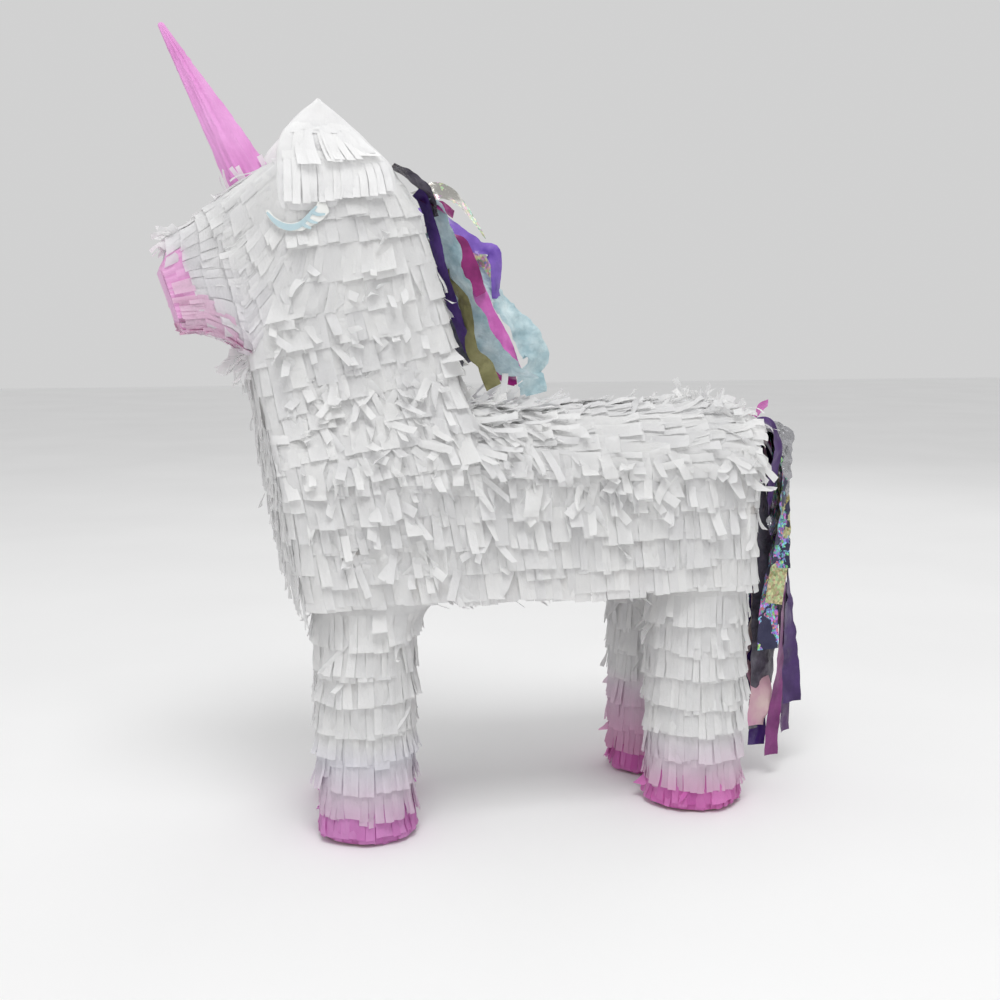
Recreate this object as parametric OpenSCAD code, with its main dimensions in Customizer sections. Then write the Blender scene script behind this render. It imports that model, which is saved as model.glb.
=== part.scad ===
// Unicorn-shaped party pinata: cardboard casing, paper-fringe skins, ribbon mane and tail, fill flap.
// The animal faces -X, its left side is -Y, up is +Z. Millimetres.

/* [Casing] */
// Thickness of the casing board
board_t = 3; // [2.5:0.25:3.5]
// Width of the bare barrel, side to side
body_w = 140; // [136:1:150]
// Height of the belly board above the floor
belly_z = 166; // [162:1:168]
// Height of the bare back above the floor
back_z = 280; // [277:1:283]
// Radius of the rounded edge along each side of the back
back_r = 42; // [36:1:44]
// Width of the bare neck and head, side to side
neck_w = 96; // [90:1:98]
// Thickness of the paper-fringe layer
fringe_t = 6; // [4:0.5:6]

/* [Legs] */
// Radius of a front leg tube at the floor
front_leg_r = 26; // [24:0.5:28]
// Radius of a rear leg tube at the floor
rear_leg_r = 28; // [25:0.5:28]
// How much wider a leg tube is at the belly than at the floor
leg_flare = 4; // [2:0.5:4]
// Distance of each leg's centre from the middle plane
leg_y = 38.5; // [38.5:0.5:40]
// Height of the coloured hoof band
hoof_h = 21; // [16:1:26]

/* [Horn and ears] */
// Radius of the horn at its foot
horn_r = 15; // [12:0.5:16]
// Length of the horn
horn_len = 111; // [95:1:111]
// Height of the ear tip above the floor
ear_tip_z = 474; // [464:1:478]

/* [Fill flap and hanging holes] */
// Length of the fill opening along the back
hatch_l = 68; // [54:1:70]
// Width of the fill opening
hatch_w = 50; // [40:1:50]
// Radius of the two hanging holes
hole_r = 3; // [2.5:0.5:4]

/* [Ribbons] */
// Width of a mane or tail ribbon
ribbon_w = 14; // [10:1:14]
// Thickness of a ribbon
ribbon_t = 1.2; // [1:0.1:1.4]

/* [Hidden] */
$fn = 72;
// middle of the overall length, taken off every X so that the part stands centred
mid_x = 13.2;
t = board_t;
hw = body_w / 2;
nw = neck_w / 2;
rear_x = 170;
big = 400;
// slanted chest: its front face at height z
chest_k = 0.1935;
function chest_x(z) = -132 - chest_k * (z - 166);
chest_t = t * sqrt(1 + chest_k * chest_k);
chest_f = fringe_t * sqrt(1 + chest_k * chest_k);
// leg centres, the right front leg a little behind the left one
front_left_x = -96;
front_right_x = -85;
rear_leg_x = 142;
// outline of neck and head seen from the side, clockwise from the foot of the throat
head = [[-151, 262], [-164, 324], [-187, 340], [-208, 339], [-219.7, 374], [-213, 386],
  [-148, 437], [-78, 432], [-57, 387], [-46, 349], [-36, 300], [-31, 262]];
// which outline edges carry fringe: all but the two bare nose facets
fringed = [1, 1, 1, 0, 0, 1, 1, 1, 1, 1, 1, 1];
n_head = len(head);
function wrap_i(i) = (i + n_head) % n_head;
function edge_n(i) =
  let (d = head[wrap_i(i + 1)] - head[wrap_i(i)], l = norm(d)) [-d[1] / l, d[0] / l];
// corner i of the outline with the edges before and after it moved out by a and b
function corner(i, a, b) =
  let (m = edge_n(wrap_i(i - 1)), n = edge_n(wrap_i(i)), q = m[0] * n[1] - m[1] * n[0])
  head[wrap_i(i)] + [(a * n[1] - b * m[1]) / q, (m[0] * b - n[0] * a) / q];
function grown(d) =
  [for (i = [0:n_head - 1]) corner(i, d * fringed[wrap_i(i - 1)], d * fringed[i])];
// horn foot and direction
horn_foot = [-160, 430];
horn_lean = 29.1;
// fill opening
hatch_x = 58;
hinge_y = hatch_w / 2;
flap_gap = 0.6;
hole_x = [-12, 140];
// tail hinge line, the middle of the tail's rolled head
tail_x = 190;
tail_z = 264;
root_r = 7;
root_w = 74;
strap_w = 12;
white = [0.95, 0.95, 0.96];
card = [0.72, 0.58, 0.42];
pink = [0.93, 0.5, 0.8];
hot_pink = [0.85, 0.3, 0.7];
blue = [0.66, 0.85, 0.9];
purple = [0.36, 0.22, 0.62];
magenta = [0.8, 0.22, 0.6];
foil = [0.7, 0.7, 0.75];

// places everything in the centred frame
module set() {
  translate([-mid_x, 0, 0]) children();
}

// flat outline in (x, z), w wide across Y
module across(w) {
  rotate([90, 0, 0]) linear_extrude(w, center = true) children();
}

// flat outline in (y, z), from x0 to x1
module along(x0, x1) {
  translate([x0, 0, 0]) rotate([90, 0, 90]) linear_extrude(x1 - x0) children();
}

// front view of the barrel, grown by g everywhere but below
module barrel_2d(g) {
  r = back_r + g;
  translate([-hw - g, belly_z]) square([2 * (hw + g), back_z - back_r - belly_z]);
  translate([-hw + back_r, belly_z]) square([2 * (hw - back_r), back_z + g - belly_z]);
  for (s = [-1, 1]) translate([s * (hw - back_r), back_z - back_r]) circle(r);
}

// everything between the slanted plane a behind the chest face and the plane x = b
module behind_chest(a, b) {
  across(big)
    polygon([[chest_x(100) + a, 100], [chest_x(320) + a, 320], [b, 320], [b, 100]]);
}

module bar(x0, x1, y0, y1, z0, z1) {
  translate([x0, y0, z0]) cube([x1 - x0, y1 - y0, z1 - z0]);
}

module holes(r) {
  for (x = hole_x) translate([x, 0, back_z - 30]) cylinder(h = 60, r = r);
}

module hatch(g, z0, z1) {
  bar(hatch_x - g, hatch_x + hatch_l + g, -hatch_w / 2 - g, hatch_w / 2 + g, z0, z1);
}

module back_wrap() {
  color(card) set() difference() {
    intersection() {
      along(-200, rear_x) difference() {
        barrel_2d(0);
        barrel_2d(-t);
      }
      behind_chest(chest_t, rear_x - t);
      bar(-200, 200, -big, big, back_z - back_r, back_z + 1);
    }
    bar(-145, -42, -nw + t, nw - t, back_z - 30, back_z + 5);
    hatch(0, back_z - 5, back_z + 5);
    holes(hole_r);
  }
}

module flank(s) {
  color(card) set() intersection() {
    bar(-200, rear_x - t, s > 0 ? hw - t : -hw, s > 0 ? hw : -hw + t, belly_z, back_z - back_r);
    behind_chest(chest_t, rear_x - t);
  }
}

module flank_left() {
  flank(-1);
}

module flank_right() {
  flank(1);
}

module belly_panel() {
  color(card) set() intersection() {
    bar(-200, rear_x - t, -hw + t, hw - t, belly_z, belly_z + t);
    behind_chest(chest_t, rear_x - t);
  }
}

module chest_panel() {
  color(card) set() intersection() {
    along(-200, 0) barrel_2d(0);
    across(big)
      polygon([[chest_x(100), 100], [chest_x(320), 320],
        [chest_x(320) + chest_t, 320], [chest_x(100) + chest_t, 100]]);
  }
}

module rump_panel() {
  color(card) set() along(rear_x - t, rear_x) barrel_2d(0);
}

// barrel and everything ahead of it at the same height, which the neck stands on
module below_neck(g) {
  along(-300, 100) barrel_2d(g);
}

module neck_side(s) {
  color(card) set() difference() {
    translate([0, s * (nw - t / 2), 0]) across(t) polygon(head);
    below_neck(0);
  }
}

module neck_side_left() {
  neck_side(-1);
}

module neck_side_right() {
  neck_side(1);
}

// one board along outline edge i, between the two side boards
module edge_board(i) {
  across(neck_w - 2 * t)
    polygon([head[i], head[wrap_i(i + 1)], corner(i + 1, -t, -t), corner(i, -t, -t)]);
}

module throat_panel() {
  color(card) set() difference() {
    edge_board(0);
    below_neck(0);
  }
}

module jaw_panel() {
  color(card) set() {
    edge_board(1);
    edge_board(2);
  }
}

module nose_panel() {
  color(card) set() {
    edge_board(3);
    edge_board(4);
  }
}

module forehead_panel() {
  color(card) set() edge_board(5);
}

module crown_panel() {
  color(card) set() edge_board(6);
}

module crest_panel() {
  color(card) set() difference() {
    for (i = [7:10]) edge_board(i);
    below_neck(0);
  }
}

module leg_tube(x, y, r) {
  color(card) set() translate([x, y, t]) difference() {
    cylinder(h = belly_z - t, r1 = r, r2 = r + leg_flare);
    translate([0, 0, -1]) cylinder(h = belly_z, r1 = r - t, r2 = r - t + leg_flare);
  }
}

module sole(x, y, r) {
  color(card) set() translate([x, y, 0]) cylinder(h = t, r = r);
}

// a sleeve of fringe around a leg, from z0 to z1
module leg_sleeve(x, y, r, z0, z1, g) {
  k = leg_flare / (belly_z - t);
  r0 = r + k * (z0 - t);
  r1 = r + k * (z1 - t);
  translate([x, y, z0]) difference() {
    cylinder(h = z1 - z0, r1 = r0 + g, r2 = r1 + g);
    translate([0, 0, -0.01]) cylinder(h = z1 - z0 + 0.02, r1 = r0, r2 = r1);
  }
}

module leg_front_left() {
  leg_tube(front_left_x, -leg_y, front_leg_r);
}

module leg_front_right() {
  leg_tube(front_right_x, leg_y, front_leg_r);
}

module leg_rear_left() {
  leg_tube(rear_leg_x, -leg_y, rear_leg_r);
}

module leg_rear_right() {
  leg_tube(rear_leg_x, leg_y, rear_leg_r);
}

module sole_front_left() {
  sole(front_left_x, -leg_y, front_leg_r);
}

module sole_front_right() {
  sole(front_right_x, leg_y, front_leg_r);
}

module sole_rear_left() {
  sole(rear_leg_x, -leg_y, rear_leg_r);
}

module sole_rear_right() {
  sole(rear_leg_x, leg_y, rear_leg_r);
}

// stiffener glued under the back around a hanging hole
module hanger_plate(i) {
  color(card) set() difference() {
    bar(hole_x[i] - 12, hole_x[i] + 12, -25, 25, back_z - 2 * t, back_z - t);
    holes(hole_r);
  }
}

module hanger_plate_front() {
  hanger_plate(0);
}

module hanger_plate_rear() {
  hanger_plate(1);
}

// horn axis, its foot sunk a little below the forehead face
module on_horn() {
  translate([horn_foot[0], 0, horn_foot[1]]) rotate([0, -horn_lean, 0]) children();
}

module head_solid(g) {
  across(neck_w + 2 * g) polygon(g == 0 ? head : grown(g));
}

module horn_cone() {
  k = (horn_r - 2) / horn_len;
  color(card) set() difference() {
    on_horn() translate([0, 0, -8]) difference() {
      cylinder(h = horn_len - 2, r1 = horn_r - 0.8 + 8 * k, r2 = 1);
      translate([0, 0, -1]) cylinder(h = horn_len - 12, r1 = horn_r - 2.6 + 8 * k, r2 = 0.6);
    }
    head_solid(0);
  }
}

module horn_wrap() {
  k = (horn_r - 2) / horn_len;
  color(pink) set() difference() {
    on_horn() translate([0, 0, -8]) difference() {
      cylinder(h = horn_len + 8, r1 = horn_r + 8 * k, r2 = 1.6);
      cylinder(h = horn_len - 2, r1 = horn_r - 0.8 + 8 * k, r2 = 1);
    }
    head_solid(0);
  }
}

// ear outline, wider by g
module ear_2d(g) {
  polygon([[-122 - 0.3 * g, ear_tip_z + 1.6 * g], [-146 - g, 440], [-146 - g, 418],
    [-79 + g, 418], [-79 + g, 436]]);
}

module ear(s) {
  color(card) set() translate([0, s * (nw + t / 2), 0]) across(t) ear_2d(0);
}

module ear_left() {
  ear(-1);
}

module ear_right() {
  ear(1);
}

module ear_sleeve(s) {
  translate([0, s * (nw + t / 2), 0]) across(t + 6) ear_2d(2);
}

module ear_wrap(s) {
  color(white) set() difference() {
    ear_sleeve(s);
    translate([0, s * (nw + t / 2), 0]) across(t) ear_2d(0);
    head_solid(0);
    across(neck_w) square([900, 2 * 432], center = true);
  }
}

module ear_wrap_left() {
  ear_wrap(-1);
}

module ear_wrap_right() {
  ear_wrap(1);
}

module eye(s) {
  color(blue) set() translate([0, s * (nw + fringe_t + 0.5), 0]) across(1)
    polygon([[-157, 416], [-154, 404], [-142, 395], [-130, 397], [-116, 412], [-120, 417]]);
}

module eye_left() {
  eye(-1);
}

module eye_right() {
  eye(1);
}

module nose_patch() {
  color(pink) set() across(neck_w) polygon([head[3], head[4], head[5], corner(5, 0.8, 0),
    corner(4, 0.8, 0.8), corner(3, 0, 0.8)]);
}

// the fringe layer all round the neck and head
module head_shell() {
  difference() {
    head_solid(fringe_t);
    head_solid(0);
    below_neck(fringe_t);
    for (s = [-1, 1]) ear_sleeve(s);
    on_horn() translate([0, 0, -8]) cylinder(h = 40, r = horn_r + 1.2);
  }
}

module muzzle_zone() {
  across(big) polygon([[-260, 300], [-260, 372], [-221, 372], [-196, 352], [-174, 322],
    [-174, 300]]);
}

module head_zone() {
  across(big) polygon([[-260, 372], [-260, 600], [100, 600], [100, 420], [-120, 345],
    [-174, 322], [-196, 352], [-221, 372]]);
}

module neck_fringe() {
  color(white) set() difference() {
    head_shell();
    muzzle_zone();
    head_zone();
  }
}

module head_fringe() {
  color(white) set() intersection() {
    head_shell();
    head_zone();
  }
}

module muzzle_fringe() {
  color(pink) set() intersection() {
    head_shell();
    muzzle_zone();
  }
}

module barrel_fringe() {
  color(white) set() difference() {
    intersection() {
      along(-200, rear_x) difference() {
        barrel_2d(fringe_t);
        barrel_2d(0);
      }
      behind_chest(0, rear_x);
    }
    head_solid(0);
    hatch(0.8, back_z - 5, back_z + 20);
    holes(hole_r + 5);
  }
}

module chest_fringe() {
  color(white) set() difference() {
    intersection() {
      along(-200, 0) barrel_2d(fringe_t);
      across(big) polygon([[chest_x(100) - chest_f, 100], [chest_x(back_z) - chest_f, back_z],
        [chest_x(back_z), back_z], [chest_x(100), 100]]);
    }
    head_solid(0);
  }
}

module rump_fringe() {
  color(white) set() difference() {
    along(rear_x, rear_x + fringe_t) barrel_2d(fringe_t);
    bar(rear_x - 1, rear_x + 20, -strap_w / 2 - 1, strap_w / 2 + 1, tail_z - 14, tail_z + 14);
  }
}

module belly_fringe() {
  color(white) set() difference() {
    intersection() {
      bar(-200, rear_x, -hw, hw, belly_z - 4, belly_z);
      behind_chest(0, rear_x);
    }
    for (p = [[front_left_x, -leg_y], [front_right_x, leg_y], [rear_leg_x, -leg_y],
      [rear_leg_x, leg_y]])
      translate([p[0], p[1], belly_z - 20]) cylinder(h = 40, r = 41);
  }
}

module leg_fringe(x, y, r) {
  color(white) set() leg_sleeve(x, y, r, hoof_h, belly_z - 4, fringe_t);
}

module hoof_fringe(x, y, r) {
  color(hot_pink) set() leg_sleeve(x, y, r, t, hoof_h, fringe_t);
}

module leg_fringe_front_left() {
  leg_fringe(front_left_x, -leg_y, front_leg_r);
}

module leg_fringe_front_right() {
  leg_fringe(front_right_x, leg_y, front_leg_r);
}

module leg_fringe_rear_left() {
  leg_fringe(rear_leg_x, -leg_y, rear_leg_r);
}

module leg_fringe_rear_right() {
  leg_fringe(rear_leg_x, leg_y, rear_leg_r);
}

module hoof_fringe_front_left() {
  hoof_fringe(front_left_x, -leg_y, front_leg_r);
}

module hoof_fringe_front_right() {
  hoof_fringe(front_right_x, leg_y, front_leg_r);
}

module hoof_fringe_rear_left() {
  hoof_fringe(rear_leg_x, -leg_y, rear_leg_r);
}

module hoof_fringe_rear_right() {
  hoof_fringe(rear_leg_x, leg_y, rear_leg_r);
}

// strip of tape down the crest, on the fringe layer, which holds the mane ribbons
module mane_tape() {
  g = fringe_t;
  color(white) set() across(2 * 38) polygon([corner(8, g, g), corner(9, g, g), corner(10, g, g),
    corner(10, g + 1, g + 1), corner(9, g + 1, g + 1), corner(8, g + 1, g + 1)]);
}

function seg_n(p, i) =
  let (d = p[i + 1] - p[i]) [-d[1], d[0]] / norm(d);
function bend_n(p, i) =
  i == 0 ? seg_n(p, 0) :
  i == len(p) - 1 ? seg_n(p, i - 1) :
  (seg_n(p, i - 1) + seg_n(p, i)) / (1 + seg_n(p, i - 1) * seg_n(p, i));

// a ribbon that follows the points p, centred on y
module ribbon(p, y) {
  h = ribbon_t / 2;
  n = len(p) - 1;
  translate([0, y, 0]) across(ribbon_w)
    polygon(concat([for (i = [0:n]) p[i] + h * bend_n(p, i)],
      [for (i = [n:-1:0]) p[i] - h * bend_n(p, i)]));
}

module mane_blue() {
  color(blue) set() {
    ribbon([[-46.5, 379], [-28, 345], [-10, 322], [10, 296]], -30);
    ribbon([[-46.5, 379], [-10, 362], [20, 340], [40, 318], [46, 294]], 15);
  }
}

module mane_purple() {
  color(purple) set() {
    ribbon([[-41.6, 362], [-30, 342], [-20, 322], [-4, 300]], -15);
    ribbon([[-48, 384], [-20, 398], [4, 383], [6, 352], [20, 300]], 30);
  }
}

module mane_magenta() {
  color(magenta) set() {
    ribbon([[-46.9, 380], [-12, 356], [8, 322], [30, 296]], -15);
    ribbon([[-43.4, 368], [-25, 346], [-8, 326], [2, 300]], 15);
  }
}

module mane_foil() {
  color(foil) set() {
    ribbon([[-48.9, 387], [-24, 420], [-17, 401]], -30);
    ribbon([[-40.2, 357], [-22, 330], [-14, 300]], 30);
  }
}

// paper strap glued to the rump and looped loosely round the tail's head
module tail_anchor() {
  color(card) set() across(strap_w) difference() {
    union() {
      translate([rear_x, tail_z - 13]) square([2, 26]);
      translate([rear_x, tail_z - 1.2]) square([tail_x - rear_x, 2.4]);
      translate([tail_x, tail_z]) circle(root_r + 1.6);
    }
    translate([tail_x, tail_z]) circle(root_r + 0.3);
  }
}

module fill_flap() {
  color(card) set() bar(hatch_x + flap_gap, hatch_x + hatch_l - flap_gap, -hatch_w / 2 + flap_gap,
    hinge_y - 0.4, back_z - t, back_z);
}

module flap_fringe() {
  color(white) set() bar(hatch_x + flap_gap, hatch_x + hatch_l - flap_gap,
    -hatch_w / 2 + flap_gap, hinge_y - 10, back_z, back_z + 5);
}

// rolled and taped head of the tail
module tail_root() {
  color(white) set() translate([tail_x, 0, tail_z]) rotate([90, 0, 0])
    cylinder(h = root_w, r = root_r, center = true);
}

module tail_purple() {
  color(purple) set() {
    ribbon([[197.6, 264], [222, 240], [229, 165], [246.2, 53]], 14);
    ribbon([[197.6, 262], [208, 230], [212, 150], [213, 62]], -14);
  }
}

module tail_magenta() {
  color(magenta) set() {
    ribbon([[197.6, 264], [218, 240], [222, 150], [224, 14]], 29.2);
    ribbon([[190, 256.3], [195, 200], [196, 120]], -29.2);
  }
}

module tail_foil() {
  color(foil) set() {
    ribbon([[197.6, 262], [222, 252], [232, 200], [224, 90]], -29.2);
    ribbon([[190, 256.3], [197, 200], [200, 120], [206, 40]], 14);
    ribbon([[190, 256.3], [195, 200], [197, 130], [200, 40]], 29.2);
  }
}

back_wrap();
flank_left();
flank_right();
belly_panel();
chest_panel();
rump_panel();
neck_side_left();
neck_side_right();
throat_panel();
jaw_panel();
nose_panel();
forehead_panel();
crown_panel();
crest_panel();
leg_front_left();
leg_front_right();
leg_rear_left();
leg_rear_right();
sole_front_left();
sole_front_right();
sole_rear_left();
sole_rear_right();
hanger_plate_front();
hanger_plate_rear();
horn_cone();
horn_wrap();
ear_left();
ear_right();
ear_wrap_left();
ear_wrap_right();
eye_left();
eye_right();
nose_patch();
barrel_fringe();
chest_fringe();
rump_fringe();
belly_fringe();
neck_fringe();
head_fringe();
muzzle_fringe();
leg_fringe_front_left();
leg_fringe_front_right();
leg_fringe_rear_left();
leg_fringe_rear_right();
hoof_fringe_front_left();
hoof_fringe_front_right();
hoof_fringe_rear_left();
hoof_fringe_rear_right();
mane_tape();
mane_blue();
mane_purple();
mane_magenta();
mane_foil();
tail_anchor();
fill_flap();
flap_fringe();
tail_root();
tail_purple();
tail_magenta();
tail_foil();
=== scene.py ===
"""Unicorn pinata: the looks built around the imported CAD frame."""

import math

import bpy
import numpy as np
from mathutils import Matrix, Vector


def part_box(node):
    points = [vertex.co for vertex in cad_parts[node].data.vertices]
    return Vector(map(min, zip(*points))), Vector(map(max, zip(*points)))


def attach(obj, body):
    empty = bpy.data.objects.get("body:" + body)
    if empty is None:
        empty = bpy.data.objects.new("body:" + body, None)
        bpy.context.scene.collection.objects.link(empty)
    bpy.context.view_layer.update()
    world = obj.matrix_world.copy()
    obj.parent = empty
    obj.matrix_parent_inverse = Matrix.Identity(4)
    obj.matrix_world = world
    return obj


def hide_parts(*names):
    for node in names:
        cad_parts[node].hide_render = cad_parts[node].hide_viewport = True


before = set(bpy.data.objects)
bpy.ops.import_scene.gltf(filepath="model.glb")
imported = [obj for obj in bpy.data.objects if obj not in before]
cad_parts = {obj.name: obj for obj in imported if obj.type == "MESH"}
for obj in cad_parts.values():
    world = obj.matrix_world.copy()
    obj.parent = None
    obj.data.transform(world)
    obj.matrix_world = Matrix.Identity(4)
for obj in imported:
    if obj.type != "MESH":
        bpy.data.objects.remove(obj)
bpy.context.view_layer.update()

# ---------------------------------------------------------------- coordinates
# Shapes are drawn in the millimetres of part.scad. Each leg: x and y of its foot, radius, colour run and seed.
LEGS = {"front_left": (-96, -38.5, 26, "front", 21), "front_right": (-85, 38.5, 26, "front", 22),
        "rear_left": (142, -38.5, 28, "rear", 23), "rear_right": (142, 38.5, 28, "far", 24)}
sole_lo, sole_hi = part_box("sole_front_left")
SHIFT = 1000 * (sole_lo.x + sole_hi.x) / 2 - LEGS["front_left"][0]
BACK_Z = 1000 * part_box("back_wrap")[1].z
REAR_X = 1000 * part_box("rump_panel")[1].x - SHIFT
HALF = 1000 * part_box("flank_right")[1].y
NECK = 1000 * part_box("neck_side_right")[1].y
BELLY = 1000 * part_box("belly_panel")[0].z
BACK_R = BACK_Z - 1000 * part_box("flank_left")[1].z
OFF = 2.6  # how far the paper's base surface stands off the board
HEAD = 50.6  # half the head's width over its paper
UP = (0.0, 0.0, 1.0)
HORN_TILT = math.radians(29.1)
HORN_AXIS = np.array([-math.sin(HORN_TILT), 0, math.cos(HORN_TILT)])
HORN_FOOT = np.array([-160, 0, 430.0])


def metres(p):
    q = np.array(p, float)
    q[..., 0] += SHIFT
    return q / 1000


def chest_x(z):
    """The leaning front of the chest board."""
    return -132 - 0.1935 * (z - 166)


# ---------------------------------------------------------------- camera and light
scene = bpy.context.scene
CAMERA_AT, LENS = (-235.3, -877.5, 337.0), 46.8
YAW, PITCH = math.radians(15.5), math.radians(7.5)
forward = Vector((math.sin(YAW) * math.cos(PITCH), math.cos(YAW) * math.cos(PITCH), -math.sin(PITCH)))
right = Vector((math.cos(YAW), -math.sin(YAW), 0))
up = right.cross(forward)
cam_data = bpy.data.cameras.new("camera")
cam_data.sensor_width = 36
cam_data.lens = LENS
cam = bpy.data.objects.new("camera", cam_data)
scene.collection.objects.link(cam)
turn = Matrix((right, up, -forward)).transposed().to_4x4()
cam.matrix_world = Matrix.Translation(Vector(metres(CAMERA_AT))) @ turn
cam_data.clip_start, cam_data.clip_end = 0.02, 60
scene.camera = cam


def area(name, at, target, size, watts, colour=(1, 1, 1)):
    data = bpy.data.lights.new(name, "AREA")
    data.size = size
    data.energy = watts
    data.color = colour
    o = bpy.data.objects.new(name, data)
    scene.collection.objects.link(o)
    o.location = at
    o.rotation_mode = "QUATERNION"
    o.rotation_quaternion = (Vector(target) - Vector(at)).to_track_quat("-Z", "Y")


area("key", (-0.25, -1.0, 2.1), (0, 0, 0.2), 0.9, 21)
area("fill", (-1.6, -1.3, 0.7), (0, 0, 0.3), 1.6, 2.5)
area("rim", (1.1, 1.3, 1.5), (0, 0, 0.3), 1.4, 4)
world = bpy.data.worlds.new("studio")
world.use_nodes = True
sky = world.node_tree.nodes["Background"].inputs
sky["Color"].default_value = (1, 1, 1, 1)
sky["Strength"].default_value = 0.64
scene.world = world
scene.view_settings.view_transform = "Standard"


# ---------------------------------------------------------------- materials
class Nodes:
    """A small helper over one material's node tree."""

    def __init__(self, name):
        self.mat = bpy.data.materials.new(name)
        self.mat.use_nodes = True
        self.tree = self.mat.node_tree
        self.bsdf = self.tree.nodes["Principled BSDF"]

    def add(self, kind, **values):
        n = self.tree.nodes.new(kind)
        for k, v in values.items():
            setattr(n, k, v)
        return n

    def feed(self, node, **sockets):
        """Sets inputs to numbers or colours, or links sockets to them. i0 is the first input, and so on."""
        for k, v in sockets.items():
            sock = node.inputs[int(k[1:]) if k[1:].isdigit() else k.replace("_", " ")]
            if isinstance(v, (int, float)):
                sock.default_value = v
            elif isinstance(v, tuple):
                sock.default_value = (*v, 1)
            else:
                self.tree.links.new(v, sock)

    def put(self, **sockets):
        self.feed(self.bsdf, **sockets)

    def coords(self, kind="Object"):
        return self.add("ShaderNodeTexCoord").outputs[kind]

    def noise(self, scale, detail=3.0, rough=0.5, stretch=(1, 1, 1)):
        mp = self.add("ShaderNodeMapping")
        mp.inputs["Scale"].default_value = stretch
        self.feed(mp, Vector=self.coords())
        n = self.add("ShaderNodeTexNoise")
        self.feed(n, Scale=scale, Detail=detail, Roughness=rough, Vector=mp.outputs["Vector"])
        return n.outputs["Fac"]

    def ramp(self, fac, stops):
        r = self.add("ShaderNodeValToRGB")
        els = r.color_ramp.elements
        while len(els) < len(stops):
            els.new(0.5)
        for e, (pos, col) in zip(els, stops):
            e.position = pos
            e.color = (*col, 1)
        self.feed(r, Fac=fac)
        return r.outputs["Color"]

    def math(self, op, a, b=0.5):
        m = self.add("ShaderNodeMath", operation=op)
        self.feed(m, i0=a, i1=b)
        return m.outputs[0]

    def plus(self, a, b):
        return self.math("ADD", a, b)

    def times(self, a, b):
        return self.math("MULTIPLY", a, b)

    def mix(self, fac, a, b, mode="MIX"):
        m = self.add("ShaderNodeMix", data_type="RGBA", blend_type=mode)
        self.feed(m, Factor=fac, i6=a, i7=b)
        return m.outputs[2]

    def bump(self, height, strength, distance):
        b = self.add("ShaderNodeBump")
        self.feed(b, Strength=strength, Distance=distance, Height=height)
        self.put(Normal=b.outputs["Normal"])

    def thin(self, colour, share):
        """Lets light through, as thin paper or film does."""
        glow = self.add("ShaderNodeBsdfTranslucent")
        self.feed(glow, Color=colour)
        both = self.add("ShaderNodeMixShader")
        self.feed(both, i0=share, i1=self.bsdf.outputs[0], i2=glow.outputs[0])
        self.feed(self.tree.nodes["Material Output"], Surface=both.outputs[0])

    def island(self):
        return self.add("ShaderNodeNewGeometry").outputs["Random Per Island"]


def tissue(name, low, high, axis=None, stops=None, crease=0.55, through=0.42, rough=0.78, sheen=0.15):
    """Thin tissue paper: faint fibres, crinkles and a slightly different white on every tab.
    With axis and stops, the colour runs along a line through the object."""
    m = Nodes(name)
    shade = m.plus(m.times(m.noise(38, 4), 0.55), m.times(m.island(), 0.45))
    colour = m.ramp(shade, [(0.2, low), (0.75, high)])
    if stops:
        dot = m.add("ShaderNodeVectorMath", operation="DOT_PRODUCT")
        dot.inputs[1].default_value = axis[0]
        m.feed(dot, i0=m.coords())
        along = m.plus(m.plus(dot.outputs["Value"], axis[1]), m.times(m.math("SUBTRACT", m.noise(60, 2), 0.5), 0.14))
        colour = m.mix(1.0, colour, m.ramp(along, stops), "MULTIPLY")
    m.put(Base_Color=colour, Roughness=rough, Specular_IOR_Level=0.25, Sheen_Weight=sheen, Sheen_Roughness=0.6)
    pleat = m.times(m.noise(420, 2, 0.6, (1, 1, 0.12)), 0.5)
    m.bump(m.plus(m.noise(110, 5, 0.62), pleat), crease, 0.0017)
    m.thin(colour, through)
    return m.mat


def cardboard(name, papered=False):
    """Brown card, under white paper on its top face and round its edges where it is papered."""
    m = Nodes(name)
    flutes = m.math("SINE", m.times(m.noise(4, 2, 0.4, (60, 1, 1)), 9))
    tone = m.plus(m.times(m.noise(30, 5), 0.8), m.times(flutes, 0.06))
    colour = m.ramp(tone, [(0.25, (0.42, 0.27, 0.15)), (0.6, (0.56, 0.39, 0.23))])
    if papered:
        split = m.add("ShaderNodeSeparateXYZ")
        m.feed(split, i0=m.coords("Normal"))
        colour = m.mix(m.math("GREATER_THAN", split.outputs[2], -0.4), colour, (0.9, 0.9, 0.895))
    m.put(Base_Color=colour, Roughness=0.85)
    m.bump(m.noise(220, 4), 0.25, 0.0006)
    return m.mat


def film(name, low, high, rough=0.3, metal=0.0, through=0.12, scale=50, bump=0.5, spec=0.5):
    """Glossy plastic ribbon with soft crumples."""
    m = Nodes(name)
    colour = m.ramp(m.noise(scale, 4, 0.55), [(0.3, low), (0.7, high)])
    m.put(Base_Color=colour, Roughness=rough, Metallic=metal, Specular_IOR_Level=spec)
    m.bump(m.plus(m.noise(scale * 2.2, 4, 0.6), m.times(m.noise(scale * 0.8, 2), 1.6)), bump, 0.0018)
    if through:
        m.thin(colour, through)
    return m.mat


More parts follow.
